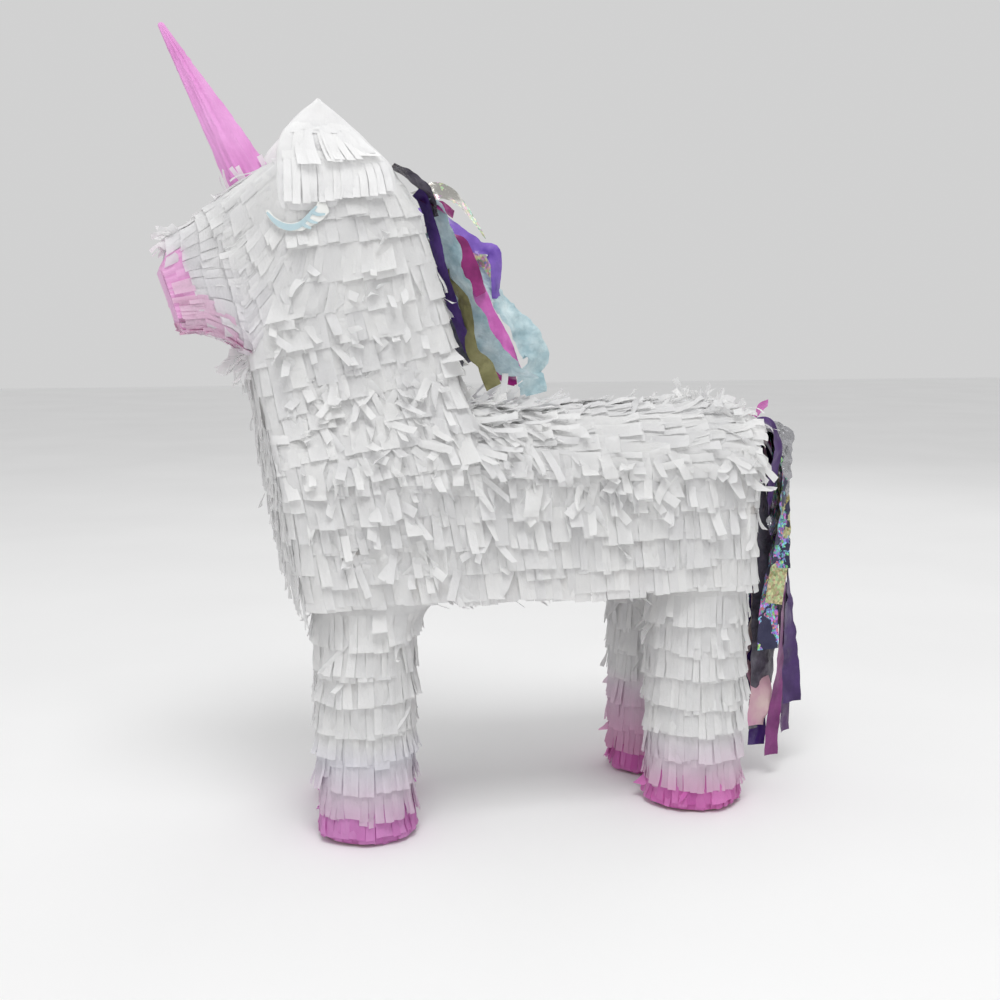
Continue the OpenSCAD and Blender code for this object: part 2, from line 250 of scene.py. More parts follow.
def sparkle(name, base, strength=0.85, rough=0.3, dark=0.25, share=0.5, hues=0.6, tilt=0.0, shift=1.6, vivid=0.68,
            bump=0.6, depth=0.0015):
    """Foil of its own base colour, with painted glints: fine cells that each send back another colour."""
    m = Nodes(name)
    cells = m.add("ShaderNodeTexVoronoi")
    m.feed(cells, Scale=520, Vector=m.coords())
    hue = m.add("ShaderNodeSeparateColor")
    m.feed(hue, Color=cells.outputs["Color"])
    big = m.plus(m.times(m.noise(70, 4, 0.6), shift), tilt)
    mixed = m.add("ShaderNodeCombineColor", mode="HSV")
    m.feed(mixed, i0=m.math("FRACT", m.plus(m.times(hue.outputs[0], hues), big)), i1=vivid,
           i2=m.plus(m.times(hue.outputs[1], 0.75), dark))
    # painted glints: where the noise is high, bright coloured cells take the place of the foil's own colour
    painted_glint = m.times(m.math("GREATER_THAN", m.noise(48, 4, 0.6), share), strength)
    m.put(Base_Color=m.mix(painted_glint, base, mixed.outputs[0]), Roughness=rough, Metallic=0.75)
    m.bump(m.plus(m.noise(110, 4), m.times(hue.outputs[2], 0.12)), bump, depth)
    return m.mat


WHITE = (0.86, 0.86, 0.865), (0.945, 0.945, 0.94)
MAT = {
    "white": tissue("tissue_white", *WHITE),
    "smooth": tissue("tissue_smooth", (0.88, 0.88, 0.885), (0.94, 0.94, 0.935), crease=0.35, through=0.12),
    # the horn's wide spread from dark to light pink is painted shade and highlight of its crumples, over the pink of
    # the paper
    "horn": tissue("tissue_horn", (0.62, 0.17, 0.5), (0.93, 0.47, 0.85), crease=0.35, through=0.05, rough=0.45,
                   sheen=0.05),
    "hoof": tissue("tissue_magenta", (0.7, 0.24, 0.6), (0.85, 0.42, 0.78)),
    "hoof_rear": tissue("tissue_hot_magenta", (0.72, 0.18, 0.55), (0.86, 0.32, 0.7)),
    "jaw": tissue("tissue_jaw", (0.83, 0.57, 0.73), (0.9, 0.72, 0.84)),
    "nose": tissue("tissue_nose", (0.74, 0.33, 0.62), (0.86, 0.5, 0.76), crease=0.5, through=0.1),
    "chin": tissue("tissue_chin", (0.78, 0.42, 0.62), (0.88, 0.6, 0.76)),
    "card_eye": tissue("decal_card", (0.86, 0.88, 0.85), (0.92, 0.92, 0.9), crease=0.15, through=0.1),
    "blue_eye": tissue("decal_blue", (0.46, 0.62, 0.68), (0.58, 0.72, 0.76), crease=0.1, through=0.1),
    "board": cardboard("board"),
    "papered": cardboard("board_papered", True),
    # the blue ribbon's spread from dark to pale blue is painted shade and highlight of its folds, over the ribbon's
    # own blue
    "sky": film("ribbon_blue", (0.36, 0.55, 0.61), (0.76, 0.91, 0.94), 0.26, through=0.3, scale=80, bump=1.0),
    "violet": film("ribbon_violet", (0.1, 0.04, 0.34), (0.36, 0.2, 0.74), 0.22),
    "indigo": film("ribbon_indigo", (0.03, 0.012, 0.1), (0.08, 0.035, 0.2), 0.2, through=0.05),
    "lilac": film("ribbon_lilac", (0.04, 0.016, 0.085), (0.1, 0.05, 0.19), 0.3, through=0.08, spec=0.3),
    "plum": film("ribbon_plum", (0.045, 0.012, 0.07), (0.11, 0.03, 0.15), 0.25, through=0.05, spec=0.3),
    "berry": film("ribbon_berry", (0.14, 0.022, 0.12), (0.3, 0.065, 0.25), 0.3, through=0.1, spec=0.35),
    "magenta": film("ribbon_magenta", (0.46, 0.05, 0.33), (0.84, 0.25, 0.68), 0.23),
    "wine": film("ribbon_wine", (0.16, 0.01, 0.1), (0.42, 0.04, 0.25), 0.18, metal=0.3, through=0.0),
    "olive": film("ribbon_olive", (0.2, 0.19, 0.08), (0.42, 0.4, 0.2), 0.25, metal=0.6, through=0.0),
    "slate": film("ribbon_slate", (0.12, 0.16, 0.2), (0.25, 0.31, 0.36), 0.25, through=0.1),
    "black": film("ribbon_dark", (0.04, 0.035, 0.05), (0.17, 0.155, 0.2), 0.25, metal=0.15, through=0.0, scale=60,
                  bump=0.8),
    "silver": sparkle("ribbon_silver", (0.45, 0.44, 0.41), 0.6, dark=0.5, share=0.5, rough=0.22, vivid=0.45),
    "steel": sparkle("ribbon_steel", (0.42, 0.42, 0.44), 0.3, dark=0.25, share=0.6, rough=0.22, vivid=0.4, bump=1.0,
                     depth=0.0035),
    "holo": sparkle("ribbon_holo", (0.05, 0.05, 0.1), 0.95, dark=0.3, tilt=0.52),
    "holo_pale": sparkle("ribbon_holo_pale", (0.5, 0.5, 0.48), 0.6, dark=0.4),
    "gold": sparkle("ribbon_gold", (0.36, 0.3, 0.1), 0.6, dark=0.35, share=0.42, hues=0.3, tilt=0.02, shift=0.0,
                    vivid=0.42),
    "cream": film("ribbon_cream", (0.6, 0.25, 0.42), (0.78, 0.66, 0.58), 0.2, through=0.1, scale=30),
}


# ---------------------------------------------------------------- mesh building
class Sheet:
    """Collects grids of points into one mesh."""

    def __init__(self, name):
        self.name, self.points, self.quads, self.count, self.mats = name, [], [], 0, []

    def grids(self, pts, mat=0, closed=False):
        """pts has shape (n, a, b, 3): n separate grids of a by b points."""
        pts = np.asarray(pts, float)
        if not len(pts):
            return
        n, a, b, _ = pts.shape
        idx = np.arange(n * a * b).reshape(n, a, b) + self.count
        if closed:
            idx = np.concatenate([idx, idx[:, :, :1]], axis=2)
        q = np.stack([idx[:, :-1, :-1], idx[:, :-1, 1:], idx[:, 1:, 1:], idx[:, 1:, :-1]], -1).reshape(-1, 4)
        self.points.append(pts.reshape(-1, 3))
        self.quads.append(q)
        self.mats.append(np.full(len(q), mat, np.int32))
        self.count += n * a * b

    def cells(self, p, ok, mat=0):
        """Only those cells of one grid whose four corners are ok."""
        for i, j in np.argwhere(ok[:-1, :-1] & ok[1:, :-1] & ok[:-1, 1:] & ok[1:, 1:]):
            self.grids(p[None, i:i + 2, j:j + 2], mat)

    def fan(self, *rings):
        """Closes an end: one of the two rings is a point."""
        self.grids(np.stack(np.broadcast_arrays(*rings))[None], 0, True)

    def make(self, mats, body="casing", replaces=()):
        v = metres(np.concatenate(self.points))
        v[:, 2] = np.maximum(v[:, 2], 0.0002)  # nothing dips into the floor
        wide, room = HALF / 1000 + 0.011, 0.005  # loose ends stay near the casing's sides
        far = np.abs(v[:, 1]) - wide
        v[:, 1] = np.where(far > 0, np.sign(v[:, 1]) * (wide + room * np.tanh(far / room)), v[:, 1])
        f = np.concatenate(self.quads)
        me = bpy.data.meshes.new(self.name)
        me.vertices.add(len(v))
        me.vertices.foreach_set("co", v.astype(np.float32).ravel())
        me.loops.add(len(f) * 4)
        me.loops.foreach_set("vertex_index", f.astype(np.int32).ravel())
        me.polygons.add(len(f))
        me.polygons.foreach_set("loop_start", np.arange(0, len(f) * 4, 4, dtype=np.int32))
        me.polygons.foreach_set("material_index", np.concatenate(self.mats))
        me.polygons.foreach_set("use_smooth", np.full(len(f), True))
        me.update(calc_edges=True)
        me.validate()
        for m in mats:
            me.materials.append(m)
        o = bpy.data.objects.new(self.name, me)
        scene.collection.objects.link(o)
        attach(o, body)
        if replaces:
            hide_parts(*replaces)
        return o


def resample(poly, n):
    p = np.asarray(poly, float)
    d = np.r_[0, np.cumsum(np.linalg.norm(np.diff(p, axis=0), axis=1))]
    t = np.linspace(0, d[-1], n)
    return np.stack([np.interp(t, d, p[:, i]) for i in range(p.shape[1])], -1)


class Waves:
    """Smooth seeded noise: sums of sines along one or two directions."""

    def __init__(self, rng, low, high, n=5, dims=1):
        self.f = 2 * np.pi / rng.uniform(low, high, (n, dims)) * rng.choice([-1, 1], (n, dims))
        self.p = rng.uniform(0, 2 * np.pi, n)
        self.n = n

    def __call__(self, *x):
        s = sum(np.sin(sum(self.f[i, j] * x[j] for j in range(len(x))) + self.p[i]) for i in range(self.n))
        return s / math.sqrt(self.n / 2) / 2


class Skin:
    """A surface through a row of rings. s runs along a ring, t from ring to ring and on beyond the last.
    Its normals point along out, or away from the middle of the rings."""

    def __init__(self, rings, closed, out=None):
        self.R, self.closed = np.asarray(rings, float), closed
        self.K, self.M = self.R.shape[:2]
        self.mid = self.R.mean(axis=1)
        self.out = None if out is None else np.asarray(out, float)

    def at(self, s, t):
        s, t = np.broadcast_arrays(np.asarray(s, float), np.asarray(t, float))
        t0 = np.clip(np.floor(t), 0, self.K - 2).astype(int)
        ft = (t - t0)[..., None]
        if self.closed:
            s = np.mod(s, self.M)
            s0 = np.floor(s).astype(int) % self.M
            s1 = (s0 + 1) % self.M
        else:
            s0 = np.clip(np.floor(s), 0, self.M - 2).astype(int)
            s1 = s0 + 1
        fs = (s - s0)[..., None]
        a = self.R[t0, s0] * (1 - fs) + self.R[t0, s1] * fs
        b = self.R[t0 + 1, s0] * (1 - fs) + self.R[t0 + 1, s1] * fs
        return a * (1 - ft) + b * ft

    def frame(self, s, t):
        e = 0.6
        ds = (self.at(s + e, t) - self.at(s - e, t)) / (2 * e)
        dt = (self.at(s, t + 0.15) - self.at(s, t - 0.15)) / 0.3
        n = np.cross(ds, dt)
        n /= np.maximum(np.linalg.norm(n, axis=-1, keepdims=True), 1e-9)
        if self.out is not None:
            ref = np.broadcast_to(self.out, n.shape)
        else:
            tt = np.clip(np.broadcast_to(t, n.shape[:-1]), 0, self.K - 1)
            k = np.arange(self.K)
            c = np.stack([np.interp(tt, k, self.mid[:, i]) for i in range(3)], -1)
            ref = self.at(s, t) - c
        n *= np.where((n * ref).sum(-1, keepdims=True) < 0, -1, 1)
        return n, np.linalg.norm(ds, axis=-1), np.linalg.norm(dt, axis=-1)

    def along(self, t):
        """Arc length at each whole s of the ring at t."""
        m = self.M + (1 if self.closed else 0)
        p = self.at(np.arange(m), t)
        return np.r_[0, np.cumsum(np.linalg.norm(np.diff(p, axis=0), axis=1))]


def backing(sheet, skin, lift, rng, t0=0.0, t1=None, rough=0.35, per=3, keep=None, mat=0):
    """The plain paper layer under the fringe."""
    t1 = skin.K - 1 if t1 is None else t1
    s = np.arange(0, skin.M if skin.closed else skin.M - 0.99, 1.0)
    t = np.linspace(t0, t1, max(2, int((t1 - t0) * per) + 1))
    S, T = np.meshgrid(s, t)
    n, _, _ = skin.frame(S, T)
    w = Waves(rng, 8, 40, 6, 2)
    p = skin.at(S, T) + n * (lift + rough * w(S * 5.0, T * 20.0))[..., None]
    if keep is None:
        sheet.grids(p[None], mat, skin.closed)
    else:
        sheet.cells(p, keep(p), mat)


def fringe(sheet, skin, row, rng, length=27, width=5.6, band=9, s0=None, s1=None, flare=3, group=3, curl=8, wild=0.05,
           wild_bend=60, skew=2.5, base=1, lift=0.2, keep=None, mat=0, gone=0.015, double=0.12, max_out=5, droop=0,
           ragged=0.06, calm=1, gap=0.98, crumple=0.16, sway=1.3, relief=0.6, press=None):
    """One glued strip of tissue: an uncut band above t = row and cut tabs that hang from it."""
    segs = 6
    arc = skin.along(row)
    m = np.arange(len(arc))
    a0 = arc[0] if s0 is None else np.interp(s0, m, arc)
    a1 = arc[-1] if s1 is None else np.interp(s1, m, arc)
    count = max(2, int(round((a1 - a0) / width)))
    edges = np.linspace(a0, a1, count + 1)
    edges[1:-1] += rng.uniform(-0.16, 0.16, count - 1) * width
    left, rightward = edges[:-1].copy(), edges[1:].copy()
    use = rng.random(count) > gone
    i = 0
    while i < count - 1:  # a missed cut leaves a double tab
        if rng.random() < double:
            rightward[i] = rightward[i + 1]
            use[i + 1] = False
            i += 1
        i += 1
    mid, half = (left + rightward) / 2, (rightward - left) / 2 * gap
    gw, gc, gl = Waves(rng, 28, 110), Waves(rng, 40, 150), Waves(rng, 30, 160)
    wobble = Waves(rng, 14, 60)
    drift = Waves(rng, 50, 190)
    # Neighbouring tabs hold together in small groups. Each tab leans out by a, curls by b, swings sideways by phi
    # and rolls by tau.
    gid = np.cumsum(rng.random(count) < 0.24)
    ga, gb, gp, gs, gh = (rng.normal(0, 1, gid[-1] + 1)[gid] for _ in range(5))
    a = flare + group * np.clip(gw(mid), -0.3, 1.2) + 2.0 * ga + rng.normal(0, 1.3 * calm, count)
    b = curl * (0.4 + gc(mid) + 0.45 * gb) + rng.normal(0, curl * 0.3 * calm, count)
    phi = np.radians(skew * (0.55 * gp + rng.normal(0, 0.4 * calm, count)) + 1.5 * gl(mid))
    tau = np.radians(rng.normal(0, 5 * calm, count))
    size = length * (1 + 0.6 * ragged * gl(mid) + 0.045 * gs + rng.normal(0, 0.02, count))
    is_wild = rng.random(count) < wild * (0.35 + 1.6 * np.clip(gw(mid), 0, 1.4))
    a = np.where(is_wild, a + rng.uniform(2, 24, count), a)
    b = np.where(is_wild, rng.uniform(0.25, 1.15, count) * wild_bend * rng.choice([1, 1, 1, -0.25], count), b)
    phi = np.where(is_wild, np.radians(rng.normal(0, 30, count)), phi)
    tau = np.where(is_wild, np.radians(rng.normal(0, 65, count)), tau)
    size = np.where(is_wild, size * rng.uniform(0.6, 1.0, count), size)
    s_mid = np.interp(mid, arc, m)
    _, _, lt = skin.frame(s_mid, np.full(count, row))
    line = row + sway * drift(mid) / lt  # the strip isn't glued on quite level
    v = np.linspace(0, 1, segs + 1)
    step = size[:, None] / segs
    ang = np.radians(a[:, None] * (0.35 + 0.65 * np.minimum(v * 2.5, 1)) + b[:, None] * v ** 1.7)
    mean = (ang[:, 1:] + ang[:, :-1]) / 2
    go = np.c_[np.zeros(count), np.cumsum(np.cos(mean) * step, axis=1)]
    out = np.c_[np.zeros(count), np.cumsum(np.sin(mean) * step, axis=1)]
    out = np.maximum(out, -0.2)
    knee, rest = max_out * 0.6, max_out * 0.55
    out = np.where(out > knee, knee + rest * np.tanh((out - knee) / rest), out)
    root = base + 0.35 * wobble(mid) + 0.12 * gh
    per_s = np.gradient(arc)[np.clip(np.round(s_mid).astype(int), 0, len(arc) - 1)]
    u = np.array([-1.0, 0.0, 1.0])
    t = line[:, None, None] + go[:, :, None] / lt[:, None, None] + 0 * u
    across, down = half[:, None, None], v[None, :, None]
    twist = tau[:, None, None] * down
    side = across * u * np.cos(twist) + (go * np.tan(phi)[:, None])[:, :, None]
    s = s_mid[:, None, None] + side / per_s[:, None, None]
    n, _, _ = skin.frame(s, t)
    rough = np.cumsum(rng.normal(0, crumple, (count, segs + 1, 3)), axis=1) * np.where(is_wild, 2.6, 1)[:, None, None]
    rough -= rough[:, :1]
    cup = rng.normal(0, 0.07, count)[:, None, None] * across * (u ** 2 - 0.5) * down
    soft = Waves(rng, 8, 34, 7, 2)
    dent = relief * soft(mid[:, None, None] + side, go[:, :, None] + 0 * side) * down ** 0.5
    h = lift + root[:, None, None] + np.maximum(out[:, :, None] + dent, -0.3) + across * u * np.sin(twist)
    p = skin.at(s, t) + n * (h + cup + np.maximum(rough, -0.5))[..., None]
    p[..., 2] -= droop * (out[:, :, None] * down)
    if press is not None:
        p = press(p)
    # a tab that would be stretched over a corner is left out
    ok = use & (np.linalg.norm(np.diff(p, axis=1), axis=-1).max(axis=(1, 2)) < 1.9 * step[:, 0])
    ok &= np.linalg.norm(np.diff(p, axis=2), axis=-1).max(axis=(1, 2)) < 1.9 * half
    if keep is not None:
        ok &= keep(p).all(axis=(1, 2))
    sheet.grids(p[ok], mat)
    if band <= 0:
        return
    cols = np.linspace(a0, a1, count * 2 + 1)
    sb = np.interp(cols, arc, m)
    vb = np.linspace(-1, 0.04, 5)[:, None]
    _, _, lb = skin.frame(sb, np.full(len(cols), row))
    tb = row + (sway * drift(cols) + vb * band) / lb[None, :]
    sb = np.broadcast_to(sb, tb.shape)
    nb, _, _ = skin.frame(sb, tb)
    crinkle = Waves(rng, 7, 26, 6, 2)(cols[None, :] + 0 * tb, vb * band + 0 * tb)
    hb = lift + (base + 0.35 * wobble(cols))[None, :] * (1 + 0.75 * vb) + 0.28 * crinkle
    pb = skin.at(sb, tb) + nb * hb[..., None]
    if press is not None:
        pb = press(pb)
    okb = np.ones(len(cols), bool) if keep is None else keep(pb).all(axis=0)
    for run in np.split(np.arange(len(okb)), np.flatnonzero(np.diff(okb)) + 1):
        if okb[run[0]] and len(run) > 1:
            sheet.grids(pb[None, :, run[0]:run[-1] + 1], mat)


# ---------------------------------------------------------------- surfaces
def arc2(cx, cy, r, a0, a1, n=6):
    a = np.radians(np.linspace(a0, a1, n))
    return np.stack([cx + r * np.cos(a), cy + r * np.sin(a)], -1)


def round_box(x0, x1, y, r, long, short):
    """A closed outline from x0 to x1 and -y to y with rounded corners, long and short points to a side."""
    parts = [(x0 + r, -y), (x1 - r, -y)], arc2(x1 - r, -y + r, r, -90, 0), \
            [(x1, -y + r), (x1, y - r)], arc2(x1 - r, y - r, r, 0, 90), \
            [(x1 - r, y), (x0 + r, y)], arc2(x0 + r, y - r, r, 90, 180), \
            [(x0, y - r), (x0, -y + r)], arc2(x0 + r, -y + r, r, 180, 270)
    return np.concatenate([resample(p, n + 1)[:-1] for p, n in zip(parts, [long, 4, short, 4] * 2)])


def slab(line, y, out):
    """A surface through (x, z) points that runs straight across."""
    return Skin([np.stack([np.full(len(y), x), y, np.full(len(y), z)], -1) for x, z in line], False, out)


def flank_y(z):
    """Half the barrel's width, with the shoulders rounded off at the back."""
    if z <= BACK_Z - BACK_R:
        return HALF + OFF
    r = BACK_R + OFF
    d = min(z - (BACK_Z - BACK_R), r - 0.01)
    return HALF - BACK_R + math.sqrt(r * r - d * d)


def barrel_ring(z):
    """The outline of the barrel, seen from above."""
    ring = round_box(chest_x(z) - OFF, REAR_X + OFF, flank_y(z), 8, 60, 26)
    return np.c_[ring, np.full(len(ring), z)]


STEP = 8  # millimetres from ring to ring of the barrel and the legs
BARREL_TOP, LEG_TOP = 258, 172
barrel_skin = Skin([barrel_ring(z) for z in range(BARREL_TOP, 139, -STEP)], True)


def row_of(z):
    return (BARREL_TOP - z) / STEP


def leg_row(z):
    return (LEG_TOP - z) / STEP


def back_ring(x, drop=0.0):
    """One crossing of the rounded back, from flank to flank."""
    r, flat, z = BACK_R + OFF, HALF - BACK_R, BACK_Z - BACK_R
    yz = resample(np.concatenate([arc2(-flat, z, r, 175, 90, 22), arc2(flat, z, r, 90, 5, 22)]), 60)
    return np.c_[np.full(60, x), yz[:, 0], yz[:, 1] - drop]


BACK_END = (168, 0), (172.6, 1.5), (176, 6), (177.5, 14), (178, 22)
back_skin = Skin([back_ring(x) for x in range(-60, 165, 8)] + [back_ring(x, drop) for x, drop in BACK_END], False)
back_skin.mid = back_skin.mid - np.array([0, 0, 60.0])


def side_ring(front, crest, half, bulge=0.0):
    """A closed ring round the neck or head through two points of the side outline."""
    f, c = np.array(front, float), np.array(crest, float)
    length = np.linalg.norm(c - f)
    ax = (c - f) / length
    uv = round_box(0, length, half, 7.0, 34, 20)
    share = uv[:, 0] / length
    push = bulge * np.where(share < 0.7, share / 0.7, (1 - share) / 0.3)
    return np.stack([f[0] + ax[0] * uv[:, 0] - push * ax[1], uv[:, 1], f[1] + ax[1] * uv[:, 0] + push * ax[0]], -1)


# each ring: front point, crest point and half width, or how far it bulges
NECK_ROWS = [((-152, 436), (-74, 436), 50.6), ((-151, 410), (-64.5, 419), 50.6), ((-149, 385), (-57, 401), 50.6),
             ((-157, 360), (-51, 382.5), 50.6), ((-167, 336), (-46.5, 364), 50.6),
             ((-165.4, 318), (-42, 345.5), 50.8), ((-162, 302), (-38, 327), 51.2),
             ((-158.6, 286), (-34.5, 309), 52.5), ((-155.3, 270), (-31, 291.5), 57), ((-153.5, 252), (-26, 272), 68),
             ((-151, 238), (-22, 256), 73)]
neck_skin = Skin([side_ring(a, b, h) for a, b, h in NECK_ROWS], True)

FACE_ROWS = [((-150, 441), (-128, 392), 0), ((-160, 433), (-136, 366), 0), ((-171, 424.6), (-148, 342), 0),
             ((-182, 416), (-165.5, 322), 0), ((-193, 407.2), (-177, 330.8), 1.5), ((-204, 398.5), (-191, 337), 4),
             ((-214.5, 389.5), (-208.5, 336.8), 6.5)]
face_skin = Skin([side_ring(b, a, 50.4, bulge=g) for a, b, g in FACE_ROWS], True)


def leg_skin(x, y, r, arch):
    """A leg tube that widens upwards; arch is how far the belly's paper curves into it."""
    rings = []
    for z in np.arange(LEG_TOP, -1, -STEP):
        a = np.radians(np.linspace(0, 360, 48, endpoint=False) - 90)
        up = min(max((z - 136) / 24, 0), 1)
        rr = r + 4 * (z - 3) / 163 + 2.2 + arch * (1 - math.sqrt(1 - up * up)) * np.maximum(np.cos(a), 0) ** 1.5
        rings.append(np.stack([x + rr * 1.03 * np.cos(a), y + rr * 0.985 * np.sin(a), np.full(48, z)], -1))
    return Skin(rings, True)


# ---------------------------------------------------------------- fringe pieces
def sides(p):
    """x, distance from the middle plane, and z of points."""
    return p[..., 0], np.abs(p[..., 1]), p[..., 2]


def clear_of_neck(p):
    x, y, z = sides(p)
    return ~((y < NECK + 2) & (x < -34) & (z > BACK_Z - 30))


def make_barrel():
    """Double rows round the barrel, messier towards the back, and a plain layer over the chest."""
    rng = np.random.default_rng(11)
    sh = Sheet("fringe_barrel")
    backing(sh, barrel_skin, 0.3, rng, 0, row_of(BELLY - 3))
    for k, (z, messy) in enumerate([(180, 0.02), (200, 0.1), (219, 0.3), (237, 0.5), (254, 0.45)]):
        for layer in range(2):
            fringe(sh, barrel_skin, row_of(z + 1.5 * layer), rng, length=(23.5 if k else 20.5) - layer,
                   band=8 if layer else 10, s0=0, s1=156, flare=2.5 + 2.5 * layer, group=5 + 6 * (k > 1), curl=9,
                   wild=messy * (0.5 + 0.7 * layer), wild_bend=120, base=0.9 + 0.9 * layer, lift=0.5,
                   gone=0.05 * layer, double=0.1 + 0.07 * k, max_out=8 + 2 * (k > 2), droop=0.15, calm=0.6 + 0.3 * k,
                   crumple=0.16 + 0.1 * k, sway=0.8 + 0.5 * k, relief=0.4 + 0.3 * k)
        fringe(sh, barrel_skin, row_of(z + 1), rng, length=23, band=10, s0=154, s1=190, flare=2.5, wild=0.02,
               wild_bend=70, lift=0.5, max_out=7, calm=0.5)
    sh.make([MAT["white"]], replaces=("barrel_fringe", "rump_fringe"))


def make_chest():
    """Extra long loose tabs down the front of the chest."""
    rng = np.random.default_rng(12)
    sh = Sheet("fringe_chest")
    for z in (178, 196, 214, 232, 250, 266):
        fringe(sh, barrel_skin, row_of(z), rng, length=29, band=6, s0=155, s1=190, flare=4.5, group=4, curl=5,
               base=2.2, lift=0.6, max_out=6, droop=0.2, calm=0.5)
    sh.make([MAT["white"]], replaces=("chest_fringe",))


flap_lo, flap_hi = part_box("fill_flap")
HATCH_X = (1000 * flap_lo.x - SHIFT - 0.6, 1000 * flap_hi.x - SHIFT + 0.6)
HATCH_Y = 25.0


def off_hatch(p):
    x, y, z = sides(p)
    return ~((x > HATCH_X[0] - 1) & (x < HATCH_X[1] + 1) & (y < HATCH_Y + 0.6) & (z > BACK_Z - 5))


def off_holes(p):
    return np.all([np.hypot(p[..., 0] - x, p[..., 1]) > 5 for x in (-12.0, 140.0)], axis=0)


def back_ok(p):
    return clear_of_neck(p) & off_hatch(p) & off_holes(p)


def make_back():
    rng = np.random.default_rng(13)
    sh = Sheet("fringe_back")
    backing(sh, back_skin, 0.25, rng, 0, back_skin.K - 1, keep=back_ok, per=2)
    for t in np.arange(27.5, 0.2, -2.0):
        rear = t > 24
        for layer in range(2):
            fringe(sh, back_skin, t - 0.1 * layer, rng, length=25, width=5, band=8, flare=3 + layer,
                   group=9 if rear else 7, curl=12, wild=0.34 if rear else 0.22, wild_bend=100 if rear else 80,
                   skew=10, base=0.6 + 0.7 * layer, lift=0.3, keep=back_ok, gone=0.06, max_out=9 if rear else 7,
                   crumple=0.3, sway=2.2)
    sh.make([MAT["white"]])


def make_flap():
    """Fringe on the fill flap, cut round its edges."""
    rng = np.random.default_rng(14)
    sh = Sheet("fringe_flap")
    x0, x1, y0, y1, top = HATCH_X[0] + 0.8, HATCH_X[1] - 0.8, -HATCH_Y + 0.8, HATCH_Y - 0.6, BACK_Z + 0.25
    skin = slab([(x, top) for x in np.linspace(x0, x1, 11)], np.linspace(y0, y1, 24), UP)
    backing(sh, skin, 0.1, rng, rough=0.08)

    def ok(p):
        x, y, z = np.moveaxis(p, -1, 0)
        return (x > x0) & (x < x1) & (y > y0) & (y < y1) & ~((y > y1 - 5) & (z > top + 2.4))

    for t in (6.6, 4.8, 3.0, 1.2):
        fringe(sh, skin, t, rng, length=20, width=5.2, band=5, s0=0.5, s1=22.5, group=5, wild_bend=30, skew=3,
               base=0.5, lift=0.3, keep=ok, max_out=4, sway=1.0, relief=0.4)
    sh.make([MAT["white"]], body="flap", replaces=("flap_fringe",))


def make_belly():
    rng = np.random.default_rng(15)
    sh = Sheet("fringe_belly")
    line = [(x, BELLY - 0.6) for x in np.linspace(-134, REAR_X + 1, 20)]
    skin = slab(line, np.linspace(-HALF - 1, HALF + 1, 40), (0, 0, -1))
    backing(sh, skin, 0.0, rng, rough=0.1)

    def ok(p):
        legs = [np.hypot(p[..., 0] - x, p[..., 1] - y) > 33 for x, y, *_ in LEGS.values()]
        return (p[..., 0] < REAR_X + 2) & np.all(legs, axis=0)

    for t in np.arange(17.6, 0.3, -1.15):
        fringe(sh, skin, t, rng, width=5, band=5, flare=19, group=14, curl=14, wild=0.15, wild_bend=40, skew=10,
               base=0.4, keep=ok, max_out=13)
    sh.make([MAT["white"]], replaces=("belly_fringe",))


def press(p):
    """The card of the eye, centred on x -136 and z 406.5, holds the tabs under it flatter."""
    x, y, z = sides(p)
    d = np.abs((x + 136) / 25) ** 3 + np.abs((z - 406.5) / 14) ** 3
    held = np.clip(1.6 - d, 0, 1) * (y > HEAD)
    p[..., 1] = np.sign(p[..., 1]) * np.where(held > 0, HEAD + (y - HEAD) * (1 - 0.62 * held), y)
    return p


def make_neck():
    """Double rows round the neck and head, and a smoother layer down the throat."""
    rng = np.random.default_rng(16)
    sh = Sheet("fringe_neck")

    def shell(p):
        """Leaves out the head's inside, where a ring cuts across it."""
        x, y, z = sides(p)
        return ~((z > 352) & (y < 47) & (x < -100))

    backing(sh, neck_skin, 0.2, rng, 0.0, 10, keep=shell, per=2)
    for k in range(9, -1, -1):
        messy = 0.4 if k >= 7 else 0.12 if k >= 5 else 0.05
        for layer in range(2):
            for a, b in ((0.0, 48.0), (48.0, 97.0)):
                fringe(sh, neck_skin, k + 0.06 * layer + (0.02 if k else 0.4), rng, length=22.5, width=5.8,
                       band=11 if k else 4, s0=a, s1=b, flare=2.5 + 2 * layer, group=6 if k < 6 else 11,
                       wild=messy * (0.4 + 0.8 * layer), wild_bend=110, base=0.8 + 0.7 * layer, lift=0.4, keep=shell,
                       gone=0.05 * layer, double=0.42, max_out=7 if k < 6 else 9, calm=0.6 if k < 6 else 1.0, gap=1.0,
                       crumple=0.2 if k < 6 else 0.36, sway=1.8, relief=1.0, press=press)
        if k >= 4:
            fringe(sh, neck_skin, k + 0.05, rng, width=5.2, band=8, s0=97, s1=124, curl=4, wild=0.03, lift=0.4,
                   keep=shell, calm=0.45)
    sh.make([MAT["white"]], replaces=("neck_fringe", "head_fringe"))


